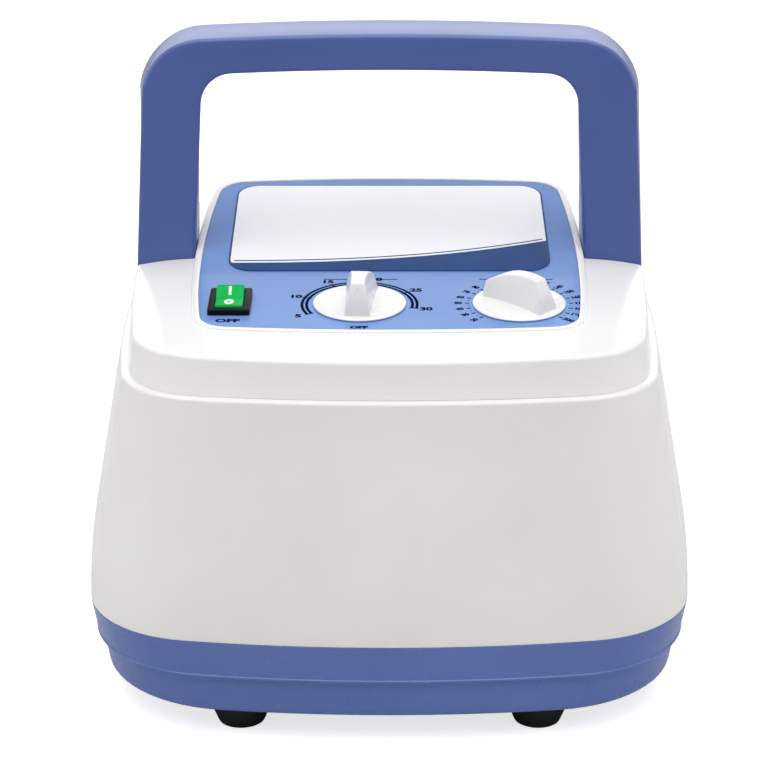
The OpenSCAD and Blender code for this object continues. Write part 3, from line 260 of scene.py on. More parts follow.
# dark ink of the scales, matt so that it stays dark where the film beside it shines
dialInk = makeFinish("dialInk", "#0A1330", "#101B3A", 4, 0.5, 0.05, 0.6, 0.0004, Specular_IOR_Level=0.0)
# moulded nylon of the switch: black, low gloss, with the fine spark grain of its mould
switchNylon = makeFinish("switchNylon", "#0C0D0F", "#141517", 3, 0.42, 0.06, 0.35, 0.004,
    Specular_IOR_Level=0.08)
# green polycarbonate of the rocker, its reflection held down to meet the photograph
rockerGreen = makeFinish("rockerGreen", "#00A848", "#02B452", 6, 0.3, 0.04, 0.8, 0.001,
    Specular_IOR_Level=0.08)
# pale green ink of the rocker's signs
signMint = makeFinish("signMint", "#E4F6EA", "#F0FAF4", 2, 0.4, 0.05, 0.3, 0.001)
# white ABS of the knobs, more neutral than the housing's
knobAbs = makeFinish("knobAbs", "#E9E9E8", "#EEEEED", 20, 0.28, 0.03, 6.0, 0.0005, IOR=1.53)
# soft black rubber with a dry bloom
footRubber = makeFinish("footRubber", "#060809", "#0C0E10", 4, 0.62, 0.1, 0.5, 0.01,
    Specular_IOR_Level=0.25)
# zinc-plated steel: bright with a faint drawn grain
zincSteel = makeFinish("zincSteel", "#B9BEC4", "#CDD1D5", 2, 0.3, 0.08, 0.2, 0.004, stretch=(1, 1, 4),
    Metallic=1.0)
# dark grey glass-filled nylon of the hose outlets
fittingGrey = makeFinish("fittingGrey", "#34363B", "#3D4046", 5, 0.45, 0.08, 0.5, 0.012)
# black nylon of the mains inlet, drier than the switch
inletNylon = makeFinish("inletNylon", "#17181A", "#202124", 4, 0.5, 0.08, 0.4, 0.012)
# pressed brass of the terminals
brassSheet = makeFinish("brassSheet", "#B8924A", "#CDA75C", 3, 0.32, 0.08, 0.3, 0.004, Metallic=1.0)
# cream phenolic case of the timer
timerCase = makeFinish("timerCase", "#CFC6A4", "#D9D1B2", 8, 0.5, 0.06, 0.6, 0.01)
# cast aluminium, coarse and dull
castAlloy = makeFinish("castAlloy", "#A9ADB1", "#BCC0C4", 5, 0.48, 0.12, 0.8, 0.03, Metallic=1.0)
# stacked steel sheets: their edges show as bands
coreSteel = makeFinish("coreSteel", "#5F6367", "#767B80", 6, 0.45, 0.1, 0.5, 0.05, "bands", (0, 0, 1),
    Metallic=1.0)
# enamelled copper wire, wound in bands
coilWire = makeFinish("coilWire", "#A45626", "#C06C34", 3, 0.3, 0.06, 0.4, 0.15, "bands", (0, 1, 0))
# turned aluminium with fine tool marks
turnedAlloy = makeFinish("turnedAlloy", "#C3C7CB", "#D3D6D9", 4, 0.25, 0.06, 0.3, 0.006, "bands",
    Metallic=1.0)
# white pressed felt of the filter
pressedFelt = makeFinish("pressedFelt", "#D6D6CF", "#E6E6E0", 2, 0.9, 0.05, 0.6, 0.12, "cells")
# natural nylon of the distributor
valveNylon = makeFinish("valveNylon", "#E1DED5", "#EBE9E1", 8, 0.42, 0.06, 0.6, 0.01)
# amber acetal of its rotor
rotorAcetal = makeFinish("rotorAcetal", "#CF9A38", "#DDAA48", 6, 0.38, 0.06, 0.6, 0.008)
# clear bluish silicone hose
siliconeHose = makeFinish("siliconeHose", "#BCD0DA", "#D2E1E8", 6, 0.3, 0.08, 1.0, 0.01, IOR=1.41)
# green glass laminate of the board
boardLaminate = makeFinish("boardLaminate", "#22663B", "#2F8150", 2, 0.35, 0.08, 0.5, 0.02, "cells")
# blue moulded case of the relay
relayCase = makeFinish("relayCase", "#1F4F9A", "#275BA9", 6, 0.35, 0.06, 0.5, 0.006)
# green nylon of the terminal block
terminalGreen = makeFinish("terminalGreen", "#33784B", "#3F8A59", 4, 0.45, 0.06, 0.5, 0.01)
print("materials made:", len(bpy.data.materials))

laid = {
    zincSteel: ["timer_shaft", "timer_nut", "regulator_stem", "regulator_nut", "handle_screws",
                "inlet_pins", "head_screws", "board_screws", "distributor_motor"],
    fittingGrey: ["outlet_nuts"], footRubber: ["rubber_mounts"], whiteAbs: ["outlet_panel"],
    castAlloy: ["regulator_body", "compressor_frame", "cylinder_head"],
    valveNylon: ["distributor_body", "distributor_lid"],
    siliconeHose: ["air_hoses", "supply_hose", "regulator_hose"],
    brassSheet: ["switch_terminals"], timerCase: ["timer_body"], coreSteel: ["stator_cores"],
    coilWire: ["stator_coils"], turnedAlloy: ["piston"], pressedFelt: ["intake_filter"],
    rotorAcetal: ["distributor_rotor"], boardLaminate: ["control_board"],
    relayCase: ["board_relay"], terminalGreen: ["terminal_block"],
}
for material, nodeNames in laid.items():
    for nodeName in nodeNames:
        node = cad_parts[nodeName]
        node.data.materials.clear()
        node.data.materials.append(material)

# ---- what repeats: feet, screws, vent slots and outlets, set out by a node tree ----


def newTree(name, inputs):
    # an empty tree with these inputs: the tree, the inputs' identifiers and the node that gives them
    tree = bpy.data.node_groups.new(name, "GeometryNodeTree")
    sockets = {title: tree.interface.new_socket(title, in_out="INPUT",
        socket_type="NodeSocket" + kind).identifier for title, kind in inputs.items()}
    tree.interface.new_socket("Geometry", in_out="OUTPUT", socket_type="NodeSocketGeometry")
    return tree, sockets, addNode(tree, "NodeGroupInput").outputs


def madeReal(tree, points, material):
    # the copies become one mesh of one material, which the tree gives out
    real = addNode(tree, "GeometryNodeRealizeInstances", {"Geometry": points.outputs[0]})
    named = addNode(tree, "GeometryNodeSetMaterial", {"Geometry": real.outputs[0], "Material": material})
    addNode(tree, "NodeGroupOutput", {"Geometry": named.outputs[0]})


def scatterTree(name):
    # one model on every point, turned alike and then at random about its own axis
    tree, sockets, given = newTree(name, {"Geometry": "Geometry", "Model": "Object", "Material": "Material",
        "Tilt": "Vector", "Spread": "Float", "Seed": "Int"})
    model = addNode(tree, "GeometryNodeObjectInfo", {"Object": given["Model"]})
    random = addNode(tree, "FunctionNodeRandomValue", {"Min": 0.0, "Seed": given["Seed"]})
    tree.links.new(given["Spread"], random.inputs["Max"])
    spin = addNode(tree, "ShaderNodeCombineXYZ", {"Z": random.outputs["Value"]})
    tilt = addNode(tree, "FunctionNodeEulerToRotation", {"Euler": given["Tilt"]})
    turn = addNode(tree, "FunctionNodeEulerToRotation", {"Euler": spin.outputs[0]})
    both = addNode(tree, "FunctionNodeRotateRotation",
        {"Rotation": tilt.outputs[0], "Rotate By": turn.outputs[0]}, rotation_space="LOCAL")
    points = addNode(tree, "GeometryNodeInstanceOnPoints",
        {"Points": given["Geometry"], "Instance": model.outputs["Geometry"],
        "Rotation": both.outputs["Rotation"]})
    madeReal(tree, points, given["Material"])
    return tree, sockets


def grownBy(name, tree, sockets, values, seed=None):
    # a plain mesh from a node tree, its inputs set by their identifiers
    piece = newObject(name, seed.copy() if seed else bpy.data.meshes.new(name))
    grow = piece.modifiers.new("grow", "NODES")
    grow.node_group = tree
    for title, value in values.items():
        grow[sockets[title]] = value
    return applied(piece)


scatter = scatterTree("setOut")


def setOut(name, model, spots, material, tilt=(0, 0, 0), spread=0.0, seed=1):
    # spots are the places in mm of the model's own origin
    seedMesh = bpy.data.meshes.new("spots")
    seedMesh.from_pydata([Vector(p) * mm for p in spots], [], [])
    piece = grownBy(name, *scatter, {"Model": model, "Material": material, "Tilt": tilt, "Spread": spread,
        "Seed": seed}, seedMesh)
    bpy.data.objects.remove(model)
    return piece


def corners(x, y, z):
    return [(sx * x, sy * y, z) for sx in (-1, 1) for sy in (-1, 1)]


# ---- plan outlines: four arcs joined by round corners ----

ringSteps = {"sideFront": 12, "sideRear": 12, "corner": 14, "front": 26}


def planRing(halfX, halfY, sideArc, frontArc, corner, inset=0.0, middleY=0.0, crease=0.0):
    # one point of each side lies on the crease, so that a folded surface folds there
    halfX, halfY = halfX - inset, halfY - inset
    sideArc, frontArc, corner = sideArc - inset, frontArc - inset, max(corner - inset, 1)
    fromFront, fromSide = frontArc - corner, sideArc - corner
    ax, ay, bx, by = 0, halfY - frontArc, halfX - sideArc, 0
    apart = sqrt((bx - ax) ** 2 + (by - ay) ** 2)
    along = (fromFront ** 2 - fromSide ** 2 + apart ** 2) / (2 * apart)
    off = sqrt(fromFront ** 2 - along ** 2)
    ux, uy = (bx - ax) / apart, (by - ay) / apart
    cx, cy = ax + along * ux + off * uy, ay + along * uy - off * ux
    sideEnd = atan2(cy, cx - halfX + sideArc)
    frontEnd = atan2(cy - halfY + frontArc, cx)
    yEnd, split = sideArc * sin(sideEnd), crease - middleY
    s = ringSteps
    ys = [*np.linspace(-yEnd, split, s["sideFront"], endpoint=False),
        *np.linspace(split, yEnd, s["sideRear"], endpoint=False)]
    ysBack = [*np.linspace(yEnd, split, s["sideRear"], endpoint=False),
        *np.linspace(split, -yEnd, s["sideFront"], endpoint=False)]

    def sideX(y):
        return halfX - sideArc + sqrt(sideArc ** 2 - y * y)

    def arc(x, y, r, start, end, steps):
        return [(x + r * cos(t), y + r * sin(t)) for t in np.linspace(start, end, steps, endpoint=False)]
    points = [(sideX(y), y) for y in ys]
    points += arc(cx, cy, corner, sideEnd, frontEnd, s["corner"])
    points += arc(0, halfY - frontArc, frontArc, frontEnd, pi - frontEnd, s["front"])
    points += arc(-cx, cy, corner, pi - frontEnd, pi - sideEnd, s["corner"])
    points += [(-sideX(y), y) for y in ysBack]
    points += arc(-cx, -cy, corner, pi + sideEnd, pi + frontEnd, s["corner"])
    points += arc(0, frontArc - halfY, frontArc, pi + frontEnd, 2 * pi - frontEnd, s["front"])
    points += arc(cx, -cy, corner, 2 * pi - frontEnd, 2 * pi - sideEnd, s["corner"])
    return np.array(points) + (0, middleY)


def foldedEnds(count):
    # the rear and the front face of a ring that has a point on the crease at each side
    s = ringSteps
    right = s["sideFront"]
    left = right + 2 * s["sideRear"] + 2 * s["corner"] + s["front"]
    return [list(range(right, left + 1)), list(range(left, count)) + list(range(right + 1))]


def atHeight(ring, z):
    return np.column_stack([ring, np.broadcast_to(z, len(ring))])


# ---- body shells ----

housingLow, housingHigh = boxMm("lower_housing")
panLow, panHigh = boxMm("base_pan")
body = {
    "halfX": panHigh.x, "halfY": panHigh.y, "seamZ": housingLow.z, "rimZ": housingHigh.z,
    "panZ": panLow.z, "sideLean": 14.4, "frontLean": 10.2, "lowCorner": 44.0, "rimCorner": 33.0,
    "sideArc": 600.0, "frontArc": 460.0, "wall": 2.6, "bendBelow": 3.0, "bendHeight": 26.0,
    "ledge": 4.0, "seam": 0.35, "rimEdge": 1.0,
}


def lean(z):
    start, bend = body["seamZ"] - body["bendBelow"], body["bendHeight"]
    t, full = max(z - start, 0), body["rimZ"] - start - bend / 2
    return (t * t / (2 * bend) if t < bend else t - bend / 2) / full


def bodyRing(z, inset=0.0):
    s = lean(z)
    corner = body["lowCorner"] + (body["rimCorner"] - body["lowCorner"]) * s
    ring = planRing(body["halfX"] - body["sideLean"] * s, body["halfY"] - body["frontLean"] * s,
        body["sideArc"], body["frontArc"], corner, inset)
    return atHeight(ring, z)


def roundEdge(radius, steps=5):
    # (inset, drop) pairs round an outer edge, from its side to its top
    return [(radius * (1 - cos(a)), radius * (1 - sin(a))) for a in np.linspace(0, pi / 2, steps)]


panelLowR, panelHighR = boxMm("outlet_panel")
bay = {"width": 132.0, "height": 46.0, "radius": 6.0, "z": (panelLowR.z + panelHighR.z) / 2, "wall": 3.2,
    "floorY": panelHighR.y, "split": panelHighR.x + 0.3, "inletX": 40.0}
inlet = {"plateW": 49.0, "plateH": 34.0, "plate": 3.0, "width": 27.4, "height": 31.0, "depth": 22.0,
    "screwX": 20.0, "socketW": 24.4, "socketH": 16.6, "socketDepth": 17.0, "socketUp": 5.6, "drawerW": 22.0,
    "drawerH": 7.0, "drawerUp": -10.2}
toRear = spun(-pi / 2, "X")


def atBay(x=0.0, y=0.0, up=0.0):
    # frame on the bay's floor: x across, z out to the rear
    return shift(x, bay["floorY"] + y, bay["z"] + up) @ toRear


def makeHousing():
    seamZ, rimZ, wall, seam = body["seamZ"], body["rimZ"], body["wall"], body["seam"]
    inner = body["ledge"] + wall + 1.4
    rings = [bodyRing(seamZ, seam)]
    rings += [bodyRing(seamZ + drop, inset) for inset, drop in roundEdge(seam, 4)[::-1]]
    rings += [bodyRing(z) for z in np.linspace(seamZ + 1, seamZ + 36, 20)]
    rings += [bodyRing(z) for z in np.linspace(seamZ + 40, rimZ - 1.6, 12)]
    rings += [bodyRing(rimZ - drop, inset) for inset, drop in roundEdge(body["rimEdge"], 6)]
    rings += [bodyRing(rimZ, inner), bodyRing(rimZ - wall, inner), bodyRing(rimZ - wall, wall + 1.5),
        bodyRing(rimZ - wall - 2, wall)]
    rings += [bodyRing(z, wall) for z in np.linspace(rimZ - 8, seamZ, 16)]
    shell = loft("housingShell", rings, looped=True)
    inside = loft("inside", [bodyRing(z, wall / 2) for z in np.linspace(bay["z"] - 32, bay["z"] + 32, 9)])
    width, height = bay["width"] + 2 * bay["wall"], bay["height"] + 2 * bay["wall"]
    block = roundBlock("block", width, height, 30, bay["radius"] + bay["wall"])
    placed(block, atBay())
    combined(shell, combined(block, inside, "INTERSECT"), "UNION")
    pocket = roundBlock("pocket", bay["width"], bay["height"], 40, bay["radius"])
    combined(shell, placed(pocket, atBay(y=-1)))
    # the bay's floor round the inlet belongs to the housing, the rest is the panel of the outlets
    floor = roundBlock("floor", width, height, bay["wall"], bay["radius"] + bay["wall"])
    side = roundBlock("side", width, height + 2, bay["wall"] + 2, 0.1)
    placed(side, shift(bay["split"] + width / 2, 0, -1))
    combined(floor, side, "INTERSECT")
    window = roundBlock("window", inlet["width"] + 0.6, inlet["height"] + 0.6, bay["wall"] + 2, 0.2)
    combined(floor, placed(window, shift(bay["inletX"], 0, -1)))
    combined(shell, placed(floor, atBay(y=-bay["wall"])), "UNION")
    return dressed(shell, whiteAbs, replaces=["lower_housing"])


pan = {"step": 1.6, "stepUp": 14.0, "edge": 1.8, "stepEdge": 0.7, "sideDraft": 4.4, "frontDraft": 0.5,
    "cornerGrow": 8.0, "bead": 0.35, "wellTop": 19.0, "well": 4.2, "post": 5.0, "postTop": 51.0,
    "postBore": 2.3, "ventX": 40.0, "ventY": 12.0, "ventLength": 28.0, "ventWidth": 3.0, "ventPitch": 8.0,
    "ventCount": 7}


def panRing(z, inset=0.0):
    # towards the table the sides draw in and the corners grow rounder
    t = (body["seamZ"] - z) / (body["seamZ"] - body["panZ"])
    ring = planRing(body["halfX"] - pan["sideDraft"] * t, body["halfY"] - pan["frontDraft"] * t,
        body["sideArc"], body["frontArc"], body["lowCorner"] + pan["cornerGrow"] * t, inset)
    return atHeight(ring, z)


def makePan():
    wall, step, floorZ = body["wall"], pan["step"], body["panZ"] + body["wall"]
    panZ, seamZ, edge, stepEdge = body["panZ"], body["seamZ"], pan["edge"], pan["stepEdge"]
    stepZ = panZ + pan["stepUp"]
    rings = [panRing(panZ + drop, step + inset) for inset, drop in roundEdge(edge, 6)[::-1]]
    rings += [panRing(z, step) for z in np.linspace(panZ + 3, stepZ - 0.3, 5)]
    rings += [panRing(stepZ, step - 0.1)]
    rings += [panRing(stepZ + drop, inset - pan["bead"]) for inset, drop in roundEdge(stepEdge, 5)[::-1]]
    rings += [panRing(stepZ + stepEdge + 0.35, -pan["bead"]), panRing(stepZ + stepEdge + 0.65, 0)]
    rings += [panRing(z) for z in np.linspace(stepZ + 3, seamZ - 0.6, 4)]
    rings += [panRing(seamZ - drop, inset) for inset, drop in roundEdge(body["seam"], 4)]
    rings += [panRing(seamZ, wall), panRing(floorZ + 6, wall + step), panRing(floorZ, wall + step + 7)]
    shell = loft("panShell", rings)
    # posts for the housing's screws, the wells of those screws, and the vent slots
    screwHigh = boxMm("housing_screws")[1]
    spots = corners(screwHigh.x - 3.8, screwHigh.y - 3.8, 0)
    post, well, wellZ = pan["post"], pan["well"], pan["wellTop"]
    postTop = pan["postTop"]
    model = revolve("post", [(0, panZ + 1), (post, panZ + 1), (post, postTop), (0, postTop)], 32)
    combined(shell, setOut("posts", model, spots, blueAbs), "UNION")
    model = revolve("well", [(0, panZ - 1), (well, panZ - 1), (well, wellZ), (pan["postBore"], wellZ),
        (pan["postBore"], postTop + 1), (0, postTop + 1)], 32)
    combined(shell, setOut("wells", model, spots, blueAbs))
    wide = pan["ventWidth"]
    model = roundBlock("slot", pan["ventLength"], wide, wall + 2, wide / 2 - 0.02)
    half = (pan["ventCount"] - 1) / 2
    slots = [(side * pan["ventX"], pan["ventY"] + (i - half) * pan["ventPitch"], panZ - 1)
        for side in (-1, 1) for i in range(pan["ventCount"])]
    combined(shell, setOut("slots", model, slots, blueAbs))
    return dressed(shell, blueAbs, replaces=["base_pan"])


makeHousing()
makePan()
print("body shells made")

# ---- cover and console ----

coverHigh = boxMm("top_cover")[1]
cover = {
    "halfX": coverHigh.x, "halfY": coverHigh.y, "rise": 13.3, "slope": 4.9, "crownHalf": 20.0,
    "sideFall": 2.8, "fallWidth": 25.0, "edge": 1.8, "draft": 0.5, "lipInset": 4.3, "lipDepth": 3.0,
    "flare": 1.3,
}
console = {
    "halfX": 73.0, "frontY": -85.2, "depth": 134.0, "corner": 13.0, "sideArc": 430.0,
    "frontArc": 650.0, "rise": 0.9, "bezelSide": 2.6, "bezelFront": 1.7, "frontTilt": radians(5),
    "rearTilt": radians(11.5), "fieldDepth": 56.0, "filmGap": 0.2, "film": 0.8, "recess": 1.3,
    "edge": 0.6, "deck": 2.4,
}
coverZ = body["rimZ"] + cover["rise"]
creaseY = console["frontY"] + console["fieldDepth"]


def crown(points):
    x, y = np.abs(points[:, 0]), np.abs(points[:, 1])
    half = cover["crownHalf"]
    run = np.where(y > half, y, (y * y + half * half) / (2 * half))
    over = np.maximum(x - (cover["halfX"] - cover["fallWidth"]), 0) / cover["fallWidth"]
    rise = tan(radians(cover["slope"])) * (cover["halfY"] - run)
    return coverZ + rise - cover["sideFall"] * over * over


def coverRing(inset=0.0):
    return planRing(cover["halfX"], cover["halfY"], body["sideArc"] - body["ledge"],
        body["frontArc"] - body["ledge"], body["rimCorner"] - body["ledge"], inset)


def consoleRing(inset=0.0, endInset=None):
    endInset = inset if endInset is None else endInset
    half = console["depth"] / 2
    return planRing(console["halfX"] - inset, half - endInset, console["sideArc"] - inset,
        console["frontArc"] - endInset, console["corner"] - inset, 0, console["frontY"] + half, creaseY)


bezelZ = crown(np.array([[0, console["frontY"]]]))[0] + console["rise"]
creaseZ = bezelZ + console["fieldDepth"] * tan(console["frontTilt"])


def roof(points, drop=0.0):
    y = points[:, 1] - creaseY
    tilt = np.where(y > 0, tan(console["rearTilt"]), tan(console["frontTilt"]))
    return creaseZ - drop + y * tilt


def onCrown(ring, drop=0.0):
    return atHeight(ring, crown(ring) - drop)


def onRoof(ring, drop=0.0):
    return atHeight(ring, roof(ring, drop))


def onPanel(x, along, height=0.0, turn=0.0):
    # frame on the front field: x across, y up the slope, z out of it; turn is about z
    panelY = console["frontY"] + console["bezelFront"]
    surface = bezelZ + console["bezelFront"] * tan(console["frontTilt"]) - console["recess"] + console["film"]
    tilt = spun(console["frontTilt"], "X")
    return (shift(x, panelY, surface) @ tilt @ shift(0, along, height) @ spun(turn))


def onRearField(x, along, height=0.0):
    surface = creaseZ - console["recess"] + console["film"]
    tilt = spun(console["rearTilt"], "X")
    return shift(0, creaseY, surface) @ tilt @ shift(x, along, height)


handleLow, handleHigh = boxMm("carry_handle")
handle = {
    "width": 191.0, "leg": 22.0, "depth": handleHigh.y * 2, "top": handleHigh.z, "bar": 13.3,
    "lean": radians(3), "arch": 1345.0, "outer": 23.5, "inner": 12.5, "edge": 1.6, "play": 0.35,
    "flare": 0.0021, "flareMiddle": -6.0, "flareFrom": 152.0, "flareTo": 188.0, "flareFade": 198.0,
    "shear": 0.03,
}
handleZ = crown(np.array([[handle["width"] / 2, 0]]))[0]
socketZ = handleLow.z
controls = {"row": 24.0, "switchX": -57.1, "timerX": -10.7, "pressureX": 46.5, "bush": 10.0, "cutW": 13.4,
    "cutL": 19.6}


def cutControls(sheet):
    # the ways through a sheet of the console for the two bushes and the switch
    r = controls["bush"] / 2 + 0.4
    for x in (controls["timerX"], controls["pressureX"]):
        hole = revolve("hole", [(0, -8), (r, -8), (r, 4), (0, 4)])
        combined(sheet, placed(hole, onPanel(x, controls["row"])))
    hole = roundBlock("hole", controls["cutW"], controls["cutL"], 12, 0.4)
    combined(sheet, placed(hole, onPanel(controls["switchX"], controls["row"], -8)))


def makeCover():
    wall, edge, deck = body["wall"], cover["edge"], console["recess"] + console["deck"]
    edgeIn = cover["draft"] + edge
    outer, base = coverRing(edgeIn), consoleRing()
    inEdge, inBase = coverRing(wall + edgeIn), consoleRing(wall)
    side, front = console["bezelSide"], console["bezelFront"]
    lip, flare = cover["lipInset"], cover["flare"]
    rings = [onRoof(consoleRing(wall), deck), onCrown(inBase, wall)]
    rings += [onCrown(inEdge * (1 - t) + inBase * t, wall) for t in (0.6, 0.3, 0)]
    rings += [atHeight(coverRing(wall + cover["draft"]), crown(inEdge) - wall - edge)]
    # from the inside of the skirt round the lip, and out to the foot of the skirt
    lipLow, touch = -cover["lipDepth"], 0.02
    rings += [atHeight(coverRing(inset), body["rimZ"] + up)
        for inset, up in ((wall, 2.4), (lip + 1.5, 0.6), (lip + 1.5, lipLow), (lip, lipLow), (lip, touch),
        (0.15 - flare, touch), (-flare, 0.15))]
    topZ = crown(outer) - edge
    rings += [atHeight(coverRing(cover["draft"] * t - flare * (1 - t) ** 1.6),
        body["rimZ"] * (1 - t) + topZ * t) for t in (0.1, 0.25, 0.45, 0.7, 0.96)]
    rings += [atHeight(coverRing(edgeIn - edge * cos(a)), topZ + edge * sin(a))
        for a in np.linspace(0, pi / 2, 8)]
    rings += [onCrown(outer * (1 - t) + base * t) for t in np.linspace(0, 1, 26)[1:-1]]
    rings += [onCrown(consoleRing(-0.5)), atHeight(consoleRing(-0.1), crown(base) + 0.12),
        atHeight(base, crown(base) + 0.4)]
    wallTop = roof(base, console["edge"])
    wallLow = np.minimum(crown(base) + 0.4, wallTop)
    rings += [atHeight(base, wallLow * 0.5 + wallTop * 0.5)]
    rings += [onRoof(consoleRing(inset), drop) for inset, drop in roundEdge(console["edge"], 6)]
    inner = [(0.3 * (1 - sin(a)), 0.3 * (1 - cos(a))) for a in np.linspace(0, pi / 2, 4)]
    rings += [onRoof(consoleRing(side - a, front - a), drop) for a, drop in inner]
    rings += [onRoof(consoleRing(side, front), console["recess"])]
    shell = loft("coverShell", rings, folded=True)
    cutControls(shell)
    play = handle["play"]
    for sx in (-1, 1):
        legX = handle["width"] / 2 - handle["leg"] / 2
        hole = roundBlock("hole", handle["leg"] + 2 * play, handle["depth"] + 2 * play, 40,
            handle["edge"] + play, steps=8)
        legPlace = shift(legX, 0, handleZ) @ spun(-handle["lean"], "Y")
        placed(hole, legPlace @ shift(z=-handle["play"] - handleZ + socketZ))
        if sx < 0:
            placed(hole, Matrix.Diagonal((-1, 1, 1, 1)))
            hole.data.flip_normals()
        combined(shell, hole)
    # the cover wears the lighter copy of the white ABS: painted light from above
    return dressed(shell, coverAbsPaintedLight, replaces=["top_cover"])


makeCover()
print("cover made")

# ---- handle: one tube-like moulding swept along a leg, round its corner and over the bar ----


def legPath(x0, r, arch, corner=14, bar=14):
    u = np.array([-sin(handle["lean"]), cos(handle["lean"])])
    n = np.array([-cos(handle["lean"]), -sin(handle["lean"])])
    foot, arcZ = np.array([x0, handleZ]), handle["top"] - handle["arch"]
    q = foot + n * r - (0, arcZ)
    b, c = u @ q, q @ q - (arch - r) ** 2
    centre = foot + n * r + u * (-b + sqrt(b * b - c))
    end = atan2(centre[1] - arcZ, centre[0])
    path = [foot + u * (socketZ - foot[1]) / u[1]]
    path += [centre + r * np.array([cos(t), sin(t)]) for t in np.linspace(handle["lean"], end, corner)]
    path += [np.array([0, arcZ]) + arch * np.array([cos(t), sin(t)])
        for t in np.linspace(end, pi / 2, bar)[1:]]
    return np.array(path)


def wholePath(half):
    return np.concatenate([half, half[-2::-1] * (-1, 1)])


def flared(x, y, z):
    # over the cover the loop is wider at its rear edge than at its front, and its bar tips forward
    t = min(max((z - handle["flareFrom"]) / (handle["flareTo"] - handle["flareFrom"]), 0), 1)
    t = t * t * (3 - 2 * t)
    left = 1 - 0.85 * min(max((z - handle["flareFade"]) / (handle["top"] - 8 - handle["flareFade"]), 0), 1)
    return (x * (1 + handle["flare"] * t * left * (y - handle["flareMiddle"])), y,
        z + handle["shear"] * t * (y - handle["depth"] / 2))


def makeHandle():
    outer = wholePath(legPath(handle["width"] / 2, handle["outer"], handle["arch"]))
    inner = wholePath(legPath(handle["width"] / 2 - handle["leg"], handle["inner"],
        handle["arch"] - handle["bar"]))
    rings = []
    for po, pi_ in zip(outer, inner):
        w = np.linalg.norm(po - pi_)
        e, m, r = (po - pi_) / w, (po + pi_) / 2, handle["edge"]
        ring = []
        for q, (sx, sy) in enumerate([(1, 1), (-1, 1), (-1, -1), (1, -1)]):
            for t in np.linspace(q * pi / 2, (q + 1) * pi / 2, 6):
                a, y = sx * (w / 2 - r) + r * cos(t), sy * (handle["depth"] / 2 - r) + r * sin(t)
                ring.append(flared(m[0] + e[0] * a, y, m[1] + e[1] * a))
        rings.append(np.array(ring))
    return dressed(loft("handleLoop", rings), handleAbs, replaces=["carry_handle"])


makeHandle()
print("handle made")

# ---- panel film, label and their print ----


def makePanel():
    side, front = console["bezelSide"] + console["filmGap"], console["bezelFront"] + console["filmGap"]
    low, high = console["recess"], console["recess"] - console["film"]
    film = loft("panelSheet", [onRoof(consoleRing(side, front), low),
        onRoof(consoleRing(side, front), high + 0.1), onRoof(consoleRing(side + 0.1, front + 0.1), high)],
        folded=True)
    cutControls(film)
    return dressed(film, panelFilm, replaces=["panel_overlay"], sharp=20)


label = {"width": 120.5, "start": 0.8, "margin": 5.6, "corner": 9.0, "height": 0.4, "rim": 0.7,
    "bandLow": 6.0, "bandRise": 18.0, "stripeGap": 1.2, "stripe": 0.8}
label["length"] = ((console["depth"] - console["fieldDepth"] - console["bezelFront"])
    / cos(console["rearTilt"]) - label["start"] - label["margin"])


printThickness = 0.03


def flatShape(name, outline, thickness=printThickness):
    # a printed shape: a flat outline in mm with a hair of thickness
    count = len(outline)
    points = [(x, y, 0) for x, y in outline] + [(x, y, thickness) for x, y in outline]
    faces = [tuple(range(count))[::-1], tuple(range(count, 2 * count))]
    faces += [(i, (i + 1) % count, count + (i + 1) % count, count + i) for i in range(count)]
    return fromPoints(name, points, faces)


def makeLabel():
    w, l, r, h, rim = (label[key] for key in ("width", "length", "corner", "height", "rim"))
    middle, steps = label["start"] + l / 2, 60
    plate = placed(roundBlock("labelSheet", w, l, h, r, 0.08, 10), onRearField(0, middle))
    dressed(plate, navyInk, replaces=["label_plate"])
    # a generic print: a white field over a plain band that climbs to the right in one long curve
    xs = (w / 2 - rim) * np.sin(np.linspace(-pi / 2, pi / 2, steps))
    inner = r - rim
    edge = [l / 2 - r + sqrt(max(inner ** 2 - max(abs(x) - (w / 2 - r), 0) ** 2, 0)) for x in xs]
    rise = [label["bandLow"] + label["bandRise"] * (x / w + 0.5) ** 2.4 - l / 2 for x in xs]
    low = [(x, max(up, -y)) for x, y, up in zip(xs, edge, rise)]
    field = flatShape("labelField", low + [(x, y) for x, y in zip(xs, edge)][::-1])
    dressed(placed(field, onRearField(0, middle, h)), labelFilm, sharp=60)
    gap, wide = label["stripeGap"], label["stripe"]
    line = [(x, y + gap) for x, y in low if abs(x) < w / 2 - 1.6]
    stripe = flatShape("labelStripe", line + [(x, y + wide) for x, y in line][::-1], 0.05)
    return dressed(placed(stripe, onRearField(0, middle, h)), navyInk, sharp=60)


makePanel()
makeLabel()


def lettering(text, size, matrix, bold=0.0, spread=1.0):
    curve = bpy.data.curves.new("letters", "FONT")
    curve.body, curve.size, curve.offset = text, size, bold
    curve.align_x, curve.align_y = "CENTER", "CENTER"
    curve.extrude, curve.resolution_u = 0.02, 4
    letters = newObject("letters", curve)
    mesh = bpy.data.meshes.new_from_object(letters.evaluated_get(bpy.context.evaluated_depsgraph_get()))
    bpy.data.objects.remove(letters)
    for point in mesh.vertices:
        point.co = Vector((point.co.x * spread, point.co.y, point.co.z)) * mm
    return placed(newObject("letters", mesh), matrix)


